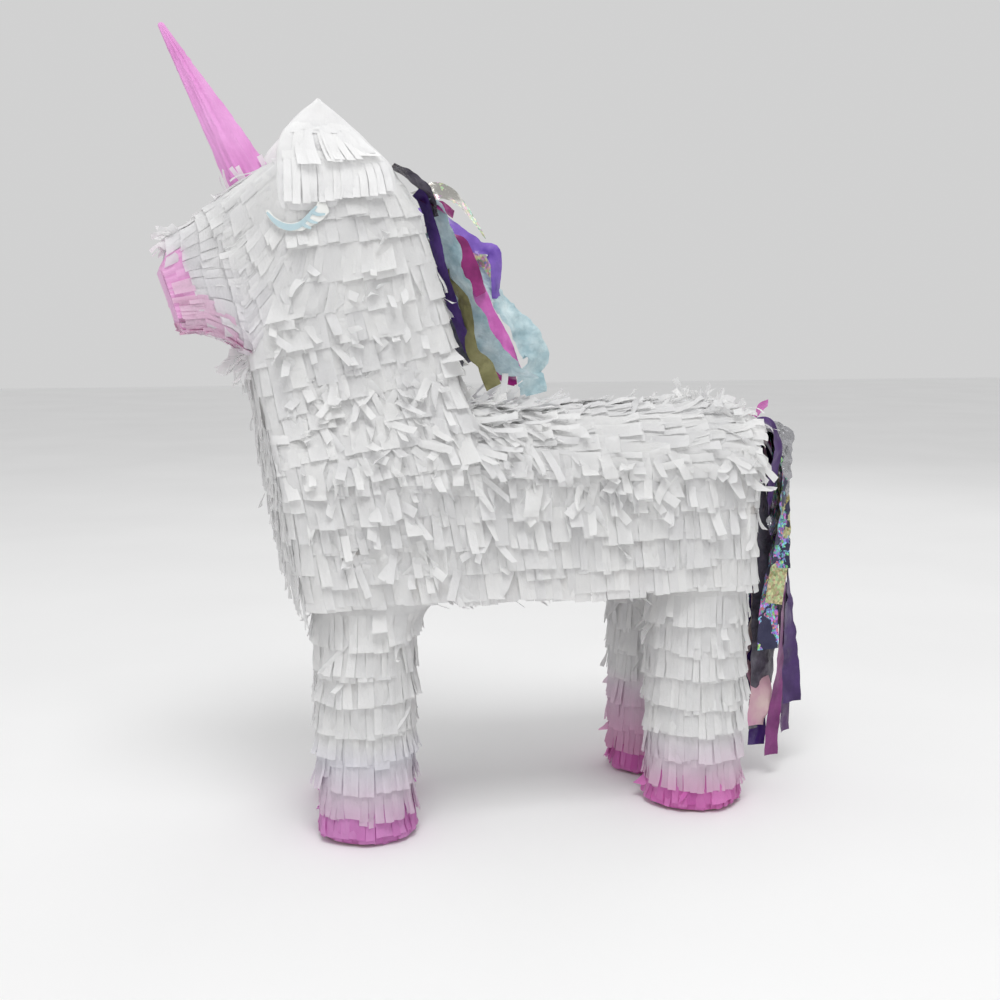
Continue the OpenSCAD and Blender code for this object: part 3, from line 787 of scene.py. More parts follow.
def make_face():
    rng = np.random.default_rng(17)
    sh = Sheet("fringe_face")

    def shell(p):
        """Leaves out the head's inside, what the crown covers and the place of the horn."""
        x, y, z = sides(p)
        inner = (y < 46) & (z < 400) & (x > -168) & (z > 342)
        high = (y < 44) & (x > -152)
        return ~(inner | high | (np.hypot(x + 162, y) < 13.5) & (z > 415))

    def nose_edge(p):
        _, y, z = sides(p)
        return (z < 388) & (y > 40)

    def jaw_edge(p):
        x, y, z = sides(p)
        return (y > 40) & (z < 333 - (x + 170) * 0.33)

    backing(sh, face_skin, 0.15, rng, 0, 6, keep=shell, per=3)
    # the pink of the nose comes round the edge of the board
    backing(sh, face_skin, 1.5, rng, 5.1, 6, keep=nose_edge, per=3, mat=2)
    # near the eye, long fine strips; towards the nose, short square tabs that stand off a little: row, length, width
    # and band
    rows = [(5.3, 10.5, 7.2, 4), (4.45, 11, 7.2, 4), (3.6, 12, 7.0, 5), (2.8, 16, 5.6, 5),
            (2.1, 23, 4.8, 5), (1.45, 27, 4.8, 4), (0.8, 29, 4.8, 4), (0.1, 29, 4.8, 3)]
    square = dict(group=5, curl=6, wild=0.05, skew=2.5, gap=0.93)
    fine = dict(group=1.5, curl=3, wild=0.03, skew=4, gap=1.0)
    for t, length, width, band in rows:
        flare, more, form = (5, 2, square) if t > 2.5 else (1.2, 0.8, fine)
        for layer in range(2):
            fringe(sh, face_skin, t - 0.05 * layer, rng, length=length, width=width, band=band,
                   s0=26 if t > 5 else None, s1=70 if t > 5 else None, flare=flare + more * layer, wild_bend=70,
                   base=0.4 + 0.5 * layer, keep=shell, gone=0.03, max_out=4, calm=0.7, sway=0.7, press=press, **form)
    # pink paper round the lower edge of the jaw, then long pink strips
    backing(sh, face_skin, 1.6, rng, 3.4, 6, keep=jaw_edge, per=3, mat=1)
    for a, b in ((118.5, 124.0), (96.0, 101.5)):
        for t, length in ((5.0, 13), (4.4, 18), (3.8, 20)):
            fringe(sh, face_skin, t, rng, length=length, width=3.4, band=2, s0=a, s1=b, flare=1.5, group=1, curl=2,
                   wild=0.0, wild_bend=70, skew=2, base=2.0, mat=1, gone=0, max_out=3)
    for t, up, length in ((5.1, 18, 12), (4.6, 13, 19), (4.1, 8.5, 21), (3.7, 4.5, 21)):
        for a, b in ((0.0, up), (96.5 - up, 96.5)):
            fringe(sh, face_skin, t, rng, length=length, width=4.2, band=0, s0=a, s1=b, flare=2, curl=4, wild=0.03,
                   wild_bend=40, skew=4, base=1.5, lift=0.3, keep=shell, mat=1, gone=0.12, max_out=3.5)
    sh.make([colour_face(), MAT["jaw"], MAT["nose"]], replaces=("muzzle_fringe",))


def colour_face():
    """White by the eye, lavender on the muzzle, pink at the nose and along the jaw."""
    axis = (Vector((-0.62, 0, -0.78)) / 0.075).to_tuple()
    a = metres((-185.0, 0, 392.0))
    start = -(axis[0] * a[0] + axis[2] * a[2])
    stops = [(0.0, (1, 1, 1)), (0.4, (0.98, 0.97, 0.99)), (0.66, (0.96, 0.91, 0.96)), (0.84, (0.93, 0.76, 0.87)),
             (1.0, (0.88, 0.55, 0.76))]
    return tissue("tissue_muzzle", *WHITE, axis=(axis, start), stops=stops)


# the colour from z = 14 up to 74, or 80 on the far leg, which carries painted shade
LEG_TINT = {
    "front": [(0.05, (0.9, 0.7, 0.86)), (0.4, (0.93, 0.85, 0.93)), (0.66, (0.93, 0.92, 0.97)), (0.95, (1, 1, 1))],
    "rear": [(0.05, (0.93, 0.66, 0.84)), (0.3, (0.95, 0.83, 0.92)), (0.56, (0.98, 0.94, 0.98)), (0.72, (1, 1, 1))],
    # far: the rear leg's pink made deeper and carried higher, as painted shade on the leg that stands in shadow
    "far": [(0.05, (0.9, 0.5, 0.74)), (0.45, (0.93, 0.68, 0.84)), (0.8, (0.96, 0.84, 0.93)), (1.0, (1, 1, 1))]}
for tint, stops in LEG_TINT.items():
    z0, z1 = 14, 80 if tint == "far" else 74
    MAT["leg_" + tint] = tissue("tissue_leg_" + tint, *WHITE, axis=((0, 0, 1000 / (z1 - z0)), -z0 / (z1 - z0)),
                                stops=stops)


def make_leg(name, x, y, r, tint, seed):
    """Seven double rows of fringe round a leg, and the hoof's three layers."""
    rng = np.random.default_rng(seed)
    skin = leg_skin(x, y, r, 22 if name == "front_left" else 0)
    sh = Sheet("fringe_leg_" + name)
    backing(sh, skin, 0.2, rng, 0.8, leg_row(16), rough=0.3)
    for z in np.arange(37.0, 166, 19.6):
        for layer in range(2):
            fringe(sh, skin, leg_row(z + layer), rng, length=22 - layer, width=4.8, flare=3.5 + 2.6 * layer, group=7,
                   wild=0.04 + 0.05 * layer, wild_bend=90, base=0.7 + 0.8 * layer, lift=0.3, gone=0.02 * layer,
                   double=0.08, max_out=6.5, crumple=0.22, sway=1.0)
    sh.make([MAT["leg_" + tint]], replaces=("leg_fringe_" + name,))
    hoof = Sheet("fringe_hoof_" + name)
    backing(hoof, skin, 0.15, rng, leg_row(24), leg_row(1), rough=0.2)
    for layer in range(3):
        fringe(hoof, skin, leg_row(20 + layer), rng, length=18.2 - 0.8 * layer, width=5.2, band=7,
               flare=3 + 3 * layer, group=6, curl=6, wild=0.04, base=0.4 + 0.6 * layer, max_out=6)
    hoof.make([MAT["hoof" if tint == "front" else "hoof_rear"]],
              replaces=("hoof_fringe_" + name,))


make_barrel()
make_chest()
make_back()
make_flap()
make_belly()
make_neck()
make_face()
for leg_name, spec in LEGS.items():
    make_leg(leg_name, *spec)

# ---------------------------------------------------------------- loose strips
def strips(sheet, rng, starts, dirs, ups, length, width, bend, twist, yaw):
    """Single curled strips of paper: each leaves its start along a direction and bends away from up."""
    segs = 7
    starts, dirs, ups = (np.asarray(q, float) for q in (starts, dirs, ups))
    n = len(starts)
    d = dirs / np.linalg.norm(dirs, axis=1, keepdims=True)
    side = np.cross(d, ups)
    side /= np.maximum(np.linalg.norm(side, axis=1, keepdims=True), 1e-6)
    a = np.radians(rng.normal(0, yaw, n))[:, None]
    d, side = d * np.cos(a) + side * np.sin(a), side * np.cos(a) - d * np.sin(a)
    L = rng.uniform(*length, n)[:, None]
    w = rng.uniform(*width, n)[:, None] / 2
    step = np.radians(rng.uniform(*bend, n) * rng.choice([1, 1, 1, -0.4], n))[:, None] / segs
    roll = np.radians(rng.normal(0, twist, n))[:, None] / segs
    p = starts.copy()
    rows = []
    for _ in range(segs + 1):
        rows.append(np.stack([p - side * w, p, p + side * w], 1))
        nrm = np.cross(side, d)
        d = d * np.cos(step) - nrm * np.sin(step)
        nrm = np.cross(side, d)
        side = side * np.cos(roll) + nrm * np.sin(roll)
        p = p + d * L / segs
    sheet.grids(np.stack(rows, 1))


def draws(rng, n, *specs):
    """n points. Each axis is (low, high) for an even spread, [middle, spread] for a normal one, or one number."""
    return np.stack([rng.uniform(*s, n) if isinstance(s, tuple) else rng.normal(*s, n) if isinstance(s, list)
                     else np.full(n, float(s)) for s in specs], -1)


def unit(v):
    v = np.asarray(v, float)
    return v / np.linalg.norm(v, axis=-1, keepdims=True)


# ---------------------------------------------------------------- ears
# z and x of the ear's front and rear edges
EAR_L = [(405, -149), (418, -149), (430, -149), (438, -149), (446.6, -148.6), (452.6, -147), (459.4, -143.5),
         (466.2, -137), (471.2, -131), (475.5, -125.6), (477.8, -123.4)]
EAR_R = [(405, -72), (418, -73), (430, -74), (438, -76), (449, -87.5), (456.2, -95), (463.8, -104.4), (471.3, -113.6),
         (475.5, -119.4), (477.8, -121.6)]


def ear_skin(side):
    """Rings from the ear's tip down, flat towards the tip."""
    lz, lx = zip(*EAR_L)
    rz, rx = zip(*EAR_R)
    rings = []
    for z in np.r_[477.6, 476.2, np.arange(474, 404, -4.0)]:
        x0, x1 = np.interp(z, lz, lx), np.interp(z, rz, rx)
        fat = (2.2 + 4.0 * min(1, (478 - z) / 26)) * min(1, 0.1 + 0.9 * (z - 405) / 22)
        a = np.radians(np.arange(0, 360, 7.5))
        c, q = np.cos(a), np.sin(a)
        x = (x0 + x1) / 2 + (x1 - x0) / 2 * np.sign(c) * np.abs(c) ** 0.62
        y = side * 49.5 - side * fat * np.sign(q) * np.abs(q) ** 0.55
        rings.append(np.stack([x, y, np.full(len(a), z)], -1))
    return Skin(rings, True)


def make_ear(name, side, seed):
    """Smooth tissue round the ear, with four short strips of fringe on its outer face."""
    rng = np.random.default_rng(seed)
    skin = ear_skin(side)
    sh = Sheet("ear_skin_" + name)
    s = np.arange(skin.M)
    t = np.linspace(0, 18, 46)
    S, T = np.meshgrid(s, t)
    n, _, _ = skin.frame(S, np.maximum(T, 0.4))
    crease = Waves(rng, 10, 50, 7, 2)
    p = skin.at(S, T) + n * (0.4 * crease(S * 2.4, T * 4.0) * np.clip(T / 3, 0, 1))[..., None]
    sh.grids(p[None], 0, True)
    sh.fan(p[0].mean(axis=0), p[0])

    def outer(q):
        return side * q[..., 1] > 53.2

    for z, length, flare, wide in ((441, 25, 2.5, 5.0), (440, 24, 5, 5.0), (458, 20, 3.5, 4.4), (457, 19, 7, 4.4)):
        fringe(sh, skin, 2 + (474 - z) / 4, rng, length=length, width=wide, band=5, s0=24.6, s1=47.3, flare=flare,
               group=7, wild_bend=50, base=0.25, lift=0.15, keep=outer, ragged=0.12, calm=0.7, gap=0.97, sway=0.9)
    sh.make([MAT["smooth"]], replaces=("ear_wrap_" + name,))


make_ear("left", -1, 31)
make_ear("right", 1, 32)


# ---------------------------------------------------------------- crown and horn
def square_to_horn(a):
    """Directions square to the horn's axis, at angles a round it."""
    return np.cos(a)[..., None] * [HORN_AXIS[2], 0, -HORN_AXIS[0]] + np.sin(a)[..., None] * [0, 1, 0]


def make_crown():
    """The flat sheet between the ears and the loose strips in front of it."""
    rng = np.random.default_rng(41)
    sh = Sheet("fringe_crown")
    line = resample([(-203, 396.5), (-152, 436.5), (-148, 440.2), (-79, 436.2), (-71, 430), (-64, 416)], 60)
    y = np.linspace(-46, 46, 40)
    X, Y = np.meshgrid(line[:, 0], y)
    Z, _ = np.meshgrid(line[:, 1], y)
    wave = Waves(rng, 10, 50, 7, 2)
    p = np.stack([X, Y, Z + 1.0 + 0.5 * wave(X, Y)], -1)
    sh.cells(p, np.hypot(X + 161, Y) >= 13)
    skin = slab(line[::3] + [0, 1.6], y, (-0.3, 0, 1))

    def keep(q):
        x, y, _ = sides(q)
        return (np.hypot(x + 161, y) > 14) & (x < -72) & (x > -158)

    for t in (13.0, 10.6, 8.3, 6.0):
        fringe(sh, skin, 19 - t, rng, length=22, width=6.5, band=6, flare=5, group=6, wild=0.1, base=0.5, keep=keep)
    # tabs that stand up around the horn's foot
    ring = square_to_horn(np.radians(rng.uniform(0, 360, 17)))
    start = HORN_FOOT + HORN_AXIS * 3 + ring * 15.6
    strips(sh, rng, start[:8], HORN_AXIS + ring[:8] * 0.5, ring[:8], (9, 18), (2.4, 3.8), (10, 50), 25, 18)
    strips(sh, rng, start, ring + np.array([-0.3, 0, -0.165]), HORN_AXIS, (8, 15), (4.5, 6.5), (5, 40), 25, 20)
    sh.make([MAT["white"]])


def make_horn():
    """Crumpled tissue over the cone: creases, fine pleats, and a free edge that overlaps."""
    rng = np.random.default_rng(42)
    sh = Sheet("horn_skin")
    tall = 111
    H, A = np.meshgrid(np.linspace(-6, tall + 1, 110), np.linspace(0, 2 * np.pi, 96, endpoint=False), indexing="ij")
    R = np.maximum(15.3 - H * 13 / tall, 2.1)
    grain, rumple = Waves(rng, 12, 46, 8, 2), Waves(rng, 4, 12, 8, 2)
    fold = np.zeros_like(R)
    # long creases: place round the horn, turn on the way up, width, height
    for a0, turn, width, high in ((4.25, 0.5, 0.16, 0.10), (4.95, 0.2, 0.12, 0.08), (5.6, 0.75, 0.2, 0.1),
                                  (3.3, 0.6, 0.16, 0.11), (2.2, -0.4, 0.2, 0.1), (1.0, 0.6, 0.2, 0.1),
                                  (0.1, 0.4, 0.18, 0.1), (3.8, 0.9, 0.09, 0.06)):
        d = np.angle(np.exp(1j * (A - a0 - turn * H / tall)))
        fold += 1.9 * high * np.exp(-np.abs(d) / (0.8 * width)) * (0.8 + 0.2 * np.sin(H / 17 + a0))
    R = R * (0.92 + fold) + 0.3 * grain(A * 14, H) * np.clip(R / 9, 0.1, 1)
    pleats = np.abs(np.sin(9 * A + 1.2 * grain(A * 5, H * 0.5) + 0.02 * H))
    R = R + 0.45 * pleats * np.clip((R - 4) / 6, 0, 1) - 0.2
    R = R + 0.35 * rumple(A * 9, H) * np.exp(-((H - 87) / 8) ** 2)
    # the paper's free edge lies over itself as one long step
    d = np.mod(A - 4.6 - 0.5 * H / tall, 2 * np.pi)
    R = R + 0.7 * np.clip(1 - d / 1.6, 0, 1) * np.clip(R / 4, 0, 1)
    R[-1] *= 0.75
    p = HORN_FOOT + H[..., None] * HORN_AXIS + R[..., None] * square_to_horn(A)
    sh.grids(p[None], 0, True)
    sh.fan(p[-1], p[-1].mean(axis=0) + HORN_AXIS * 0.6)
    sh.make([MAT["horn"]], replaces=("horn_wrap",))


make_crown()
make_horn()


# ---------------------------------------------------------------- eyes and chin
def flat_strip(points, widths, y, n=40):
    """A strip in the plane y that follows (x, z) points, with a width at each."""
    pts = np.asarray(points, float)
    d = np.r_[0, np.cumsum(np.linalg.norm(np.diff(pts, axis=0), axis=1))]
    t = np.linspace(0, d[-1], n)
    c = np.stack([smooth_line(d, pts[:, i], t) for i in range(2)], -1)
    w = np.interp(t, d, widths)
    g = np.gradient(c, axis=0)
    g /= np.linalg.norm(g, axis=1, keepdims=True)
    nrm = np.stack([-g[:, 1], g[:, 0]], -1)
    rows = [c + nrm * w[:, None] * k for k in (-0.5, 0, 0.5)]
    return np.stack([np.c_[row[:, 0], np.full(n, y), row[:, 1]] for row in rows], 1)[None]


def smooth_line(t, v, at):
    """Cubic Hermite curve through the values v at t."""
    t, v = np.asarray(t, float), np.asarray(v, float)
    m = np.gradient(v, t) if len(t) > 2 else np.full(len(t), (v[-1] - v[0]) / (t[-1] - t[0]))
    i = np.clip(np.searchsorted(t, at, side="right") - 1, 0, len(t) - 2)
    h = t[i + 1] - t[i]
    u = (at - t[i]) / h
    return ((2 * u ** 3 - 3 * u ** 2 + 1) * v[i] + (u ** 3 - 2 * u ** 2 + u) * h * m[i]
            + (-2 * u ** 3 + 3 * u ** 2) * v[i + 1] + (u ** 3 - u ** 2) * h * m[i + 1])


def make_eye(name, side):
    """A pale cut-out with a closed lid and three lashes on it."""
    y = side * 53.9
    card = Sheet("eye_card_" + name)
    edge = [(-156.3, 409), (-153.5, 403.5), (-148.5, 398.8), (-142, 397), (-134, 397.3), (-128, 400.5), (-121, 404.5),
            (-117, 409.5), (-119, 414.5), (-125.5, 415.6)]
    top = [(-154.5, 409.6), (-151, 405.5), (-146.5, 402.6), (-141, 401.6), (-135.5, 403), (-131, 406.5),
           (-127.8, 409.5), (-125.4, 412.5), (-124.5, 414.4), (-125.6, 415.4)]
    e, t = resample(edge, 40), resample(top, 40)
    rows = np.stack([e, e * 0.5 + t * 0.5, t], 1)
    puff = np.array([0.0, 0.5, 0.2])
    card.grids(np.stack([rows[..., 0], y + side * puff + 0 * rows[..., 0], rows[..., 1]], -1)[None])
    arc = Sheet("eye_arc_" + name)
    y2 = y + side * 0.6
    arc.grids(flat_strip([(-155.6, 408), (-152, 403.8), (-148, 400.9), (-142, 399.2), (-136.5, 400.4), (-132, 404.2),
                          (-127.6, 409.3), (-124.9, 412.4)], [1.3, 2.6, 3.6, 4.1, 3.6, 2.8, 2.1, 1.2], y2))
    for line in ([(-134.8, 402), (-131.5, 399.9), (-128.6, 398.9)], [(-131.8, 405.2), (-128.2, 403), (-124.6, 402.2)],
                 [(-128.2, 409), (-124.6, 407.4), (-119.8, 407.6)]):
        arc.grids(flat_strip(line, [2.6, 2.1, 1.0], y2 + side * 0.3, n=12))
    card.make([MAT["card_eye"]])
    arc.make([MAT["blue_eye"]], replaces=("eye_" + name,))


make_eye("left", -1)
make_eye("right", 1)


def make_chin():
    """Pink strips that point forward under the jaw."""
    rng = np.random.default_rng(43)
    sh = Sheet("fringe_chin")
    line = resample([(-152, 318), (-163.5, 320), (-187, 336.6), (-208, 336), (-212, 345)], 30)
    y = np.linspace(-50, 50, 44)
    skin = slab(line + [0, 0.4], y, (0.3, 0, -1))
    backing(sh, skin, 0.1, rng, 3, 27)
    for t in (20.5, 16.5, 12.5, 8.5):
        fringe(sh, skin, t, rng, length=18, width=5.5, band=6, flare=1.5, group=2.5, curl=3, wild=0.02, wild_bend=40,
               base=0.3, keep=lambda q: q[..., 0] > -211, max_out=2.5, calm=0.5)
    sh.make([MAT["chin"]])


make_chin()


def scatter(sheet, skin, rng, n, s, t, out=(0.08, 0.5), length=(12, 22), width=(4.2, 6.2)):
    """Loose, crumpled tabs spread over a stretch of a surface."""
    S, T = rng.uniform(*s, n), rng.uniform(*t, n)
    nrm, _, _ = skin.frame(S, T)
    down = unit(skin.at(S, T + 0.2) - skin.at(S, T))
    d = down + np.cross(nrm, down) * rng.normal(0, 0.7, n)[:, None] + nrm * rng.uniform(*out, n)[:, None]
    at = skin.at(S, T) + nrm * rng.uniform(1.5, 3.5, n)[:, None]
    strips(sheet, rng, at, d, nrm, length, width, (20, 110), 45, 10)


def make_tufts():
    """All the loose tabs that stand off the fringe."""
    rng = np.random.default_rng(44)
    sh = Sheet("fringe_tufts")
    # the messy stretch over the shoulders and the upper flanks, on both sides
    for s, n in (((1, 33), 110), ((63, 95), 80)):
        scatter(sh, neck_skin, rng, n, s, (6.6, 9.8))
        scatter(sh, neck_skin, rng, n // 3, s, (3.6, 6.8), out=(0.05, 0.3), length=(9, 17))
    for s, n in (((1, 59), 130), ((95, 153), 100)):
        scatter(sh, barrel_skin, rng, n, s, (0.4, 5.2), out=(0.05, 0.3), width=(4.8, 7.2))
    scatter(sh, barrel_skin, rng, 60, (1, 24), (5, 9.5), out=(0.05, 0.3))
    # where the mane meets the back: a fan of long narrow strips that falls to the rear and down both sides
    for half, n in ((-1, 95), (1, 70)):
        x = rng.uniform(-38, 18, n)
        b = np.radians(rng.uniform(-5, 62, n))  # place on the rounded edge, from the top to the side
        rr = BACK_R + OFF + rng.uniform(0.5, 3.0, n)
        at = np.stack([x, half * (HALF - BACK_R + rr * np.sin(b)), BACK_Z - BACK_R + rr * np.cos(b)], -1)
        nrm = np.stack([0 * x, half * np.sin(b), np.cos(b)], -1)
        down = np.stack([0 * x, half * np.cos(b), -np.sin(b)], -1)
        q = rng.uniform(0.15, 1.25, n)[:, None]
        d = down * q + np.array([1.0, 0, 0]) * (1.2 - 0.6 * q) + nrm * rng.uniform(0.08, 0.55, n)[:, None]
        strips(sh, rng, at, d, nrm, (22, 38), (3.6, 5.2), (15, 75), 30, 16)
    n = 34
    at, d = draws(rng, n, (-34, 6), (-30, 30), BACK_Z + 1.5), draws(rng, n, (0.3, 1.0), [0, 0.5], (0.3, 0.9))
    strips(sh, rng, at, d, UP, (16, 28), (3.8, 5.6), (50, 120), 40, 15)
    # curled ends on the cheek and on the side of the neck
    # x, z, spread in x and in z, number
    patches = [(-130, 372, 8, 6, 9), (-116, 364, 8, 6, 8), (-148, 336, 9, 7, 12), (-100, 345, 22, 26, 16),
               (-76, 382, 14, 22, 8)]
    for half in (-1, 1):
        for cx, cz, wx, wz, n in patches:
            at = draws(rng, n, (cx - wx, cx + wx), half * (NECK + 2.6), (cz - wz, cz + wz))
            d = draws(rng, n, [0.1, 0.6], (0.15, 0.6), (-1.1, 0.1)) * [1, half, 1]
            strips(sh, rng, at, d, (0, half, 0), (11, 20), (3.8, 5.8), (20, 120), 60, 20)
    # along the top edge of the rump
    n = 46
    at, d = draws(rng, n, (146, 172), (-58, 58), 283.5), draws(rng, n, [0.1, 0.6], [0, 0.5], (0.3, 1.2))
    at[:, 2] -= 0.012 * np.maximum(np.abs(at[:, 1]) - 28, 0) ** 2
    strips(sh, rng, at, d, UP, (14, 26), (4.5, 6.5), (30, 130), 50, 25)
    # over the rounded top of the rump
    n = 90
    at = draws(rng, n, (REAR_X - 4, REAR_X + 3), (-62, 62), (252, 280))
    d = draws(rng, n, (0.05, 0.5), [0, 0.3], (-1.2, -0.5))
    at[:, 2] -= 0.008 * np.maximum(np.abs(at[:, 1]) - 30, 0) ** 2
    d[:, 1] += 0.012 * at[:, 1]
    at, d = (q[np.abs(at[:, 1]) > 9] for q in (at, d))
    strips(sh, rng, at, d, (1, 0, 0), (16, 25), (4.5, 6.0), (10, 60), 30, 15)
    # over the nose plate
    n = 24
    at, d = draws(rng, n, (-214, -206), (-44, 44), 391), draws(rng, n, (-1.2, -0.4), [0, 0.35], (-0.4, 0.8))
    at[:, 2] += (at[:, 0] + 214) * 0.78
    strips(sh, rng, at, d, (-0.5, 0, 0.8), (8, 15), (4.5, 6.5), (20, 100), 30, 15)
    # curls at the throat, where the jaw ends
    n = 26
    at, d = draws(rng, n, (-168, -160), (-50, 50), (312, 324)), draws(rng, n, (-1.0, -0.2), [0, 0.5], (-0.7, 0.1))
    strips(sh, rng, at, d, (-1, 0, 0.3), (12, 24), (4.5, 6.5), (20, 110), 40, 20)
    sh.make([MAT["white"]])


make_tufts()


# ---------------------------------------------------------------- ribbons
def ribbon(name, mat, slot, edges, y, wide, seed, body="casing", replaces=(), side=1, crumple=0.6, point=0.0,
           turn=0.98, rests=("mane_tape",), low_y=None):
    """A ribbon of a width whose two edges are seen at (x, z, x, z); what turning hides of it goes into depth.
    y is a list along its length, or one number, from which it runs evenly to low_y."""
    rng = np.random.default_rng(900 + seed)
    n = 56
    edges = np.asarray(edges, float)
    L, R = edges[:, :2], edges[:, 2:]
    c, h = (L + R) / 2, (R - L) / 2
    d = np.r_[0, np.cumsum(np.linalg.norm(np.diff(c, axis=0), axis=1))]
    t = np.linspace(0, d[-1], n)
    C = np.stack([smooth_line(d, c[:, i], t) for i in range(2)], -1)
    way = np.gradient(C, axis=0)
    way /= np.maximum(np.linalg.norm(way, axis=1, keepdims=True), 1e-9)
    across = np.stack([-way[:, 1], way[:, 0]], -1)
    seen = (np.stack([np.interp(t, d, h[:, i]) for i in range(2)], -1) * across).sum(axis=1)
    seen = np.convolve(np.pad(seen, 1, mode="edge"), np.ones(3) / 3, "valid")
    W = np.full(n, wide / 2)
    if point:  # the far end is cut to a point
        W *= np.clip((t[-1] - t) / (point * t[-1]), 0.04, 1)
    keep = np.clip(seen, -W * turn, W * turn)
    Hh = across * keep[:, None]
    deep = np.sqrt(W * W - keep ** 2)
    Y = np.interp(t, d, y) if isinstance(y, list) else y + (0 if low_y is None else low_y - y) * t / t[-1]
    u = np.linspace(-1, 1, 9)
    pts = np.zeros((n, len(u), 3))
    pts[..., 0] = C[:, None, 0] + Hh[:, None, 0] * u
    pts[..., 2] = C[:, None, 1] + Hh[:, None, 1] * u
    pts[..., 1] = Y[:, None] + side * deep[:, None] * u
    a = np.gradient(pts, axis=0)
    b = np.gradient(pts, axis=1)
    nrm = np.cross(a, b)
    nrm /= np.maximum(np.linalg.norm(nrm, axis=-1, keepdims=True), 1e-6)
    wave, fine, fold = Waves(rng, 12, 40, 6, 2), Waves(rng, 5, 12, 6, 2), Waves(rng, 16, 34, 5, 2)
    across_mm, along_mm = W[:, None] * u, t[:, None] + 0 * u
    cup = rng.uniform(-0.12, 0.12) * W[:, None]
    fold = np.abs(fold(along_mm, across_mm)) - 0.6
    push = crumple * (wave(along_mm, across_mm) + 0.4 * fine(along_mm, across_mm) - 0.8 * fold) + cup * (u ** 2 - 0.5)
    pts += nrm * (push * np.clip(t / 12, 0, 1)[:, None] * (W / W.max())[:, None])[..., None]
    pts[..., 2] = np.maximum(pts[..., 2], 1.5)
    sh = Sheet(name)
    sh.grids(pts[None])
    o = sh.make([MAT[mat]], body, replaces)


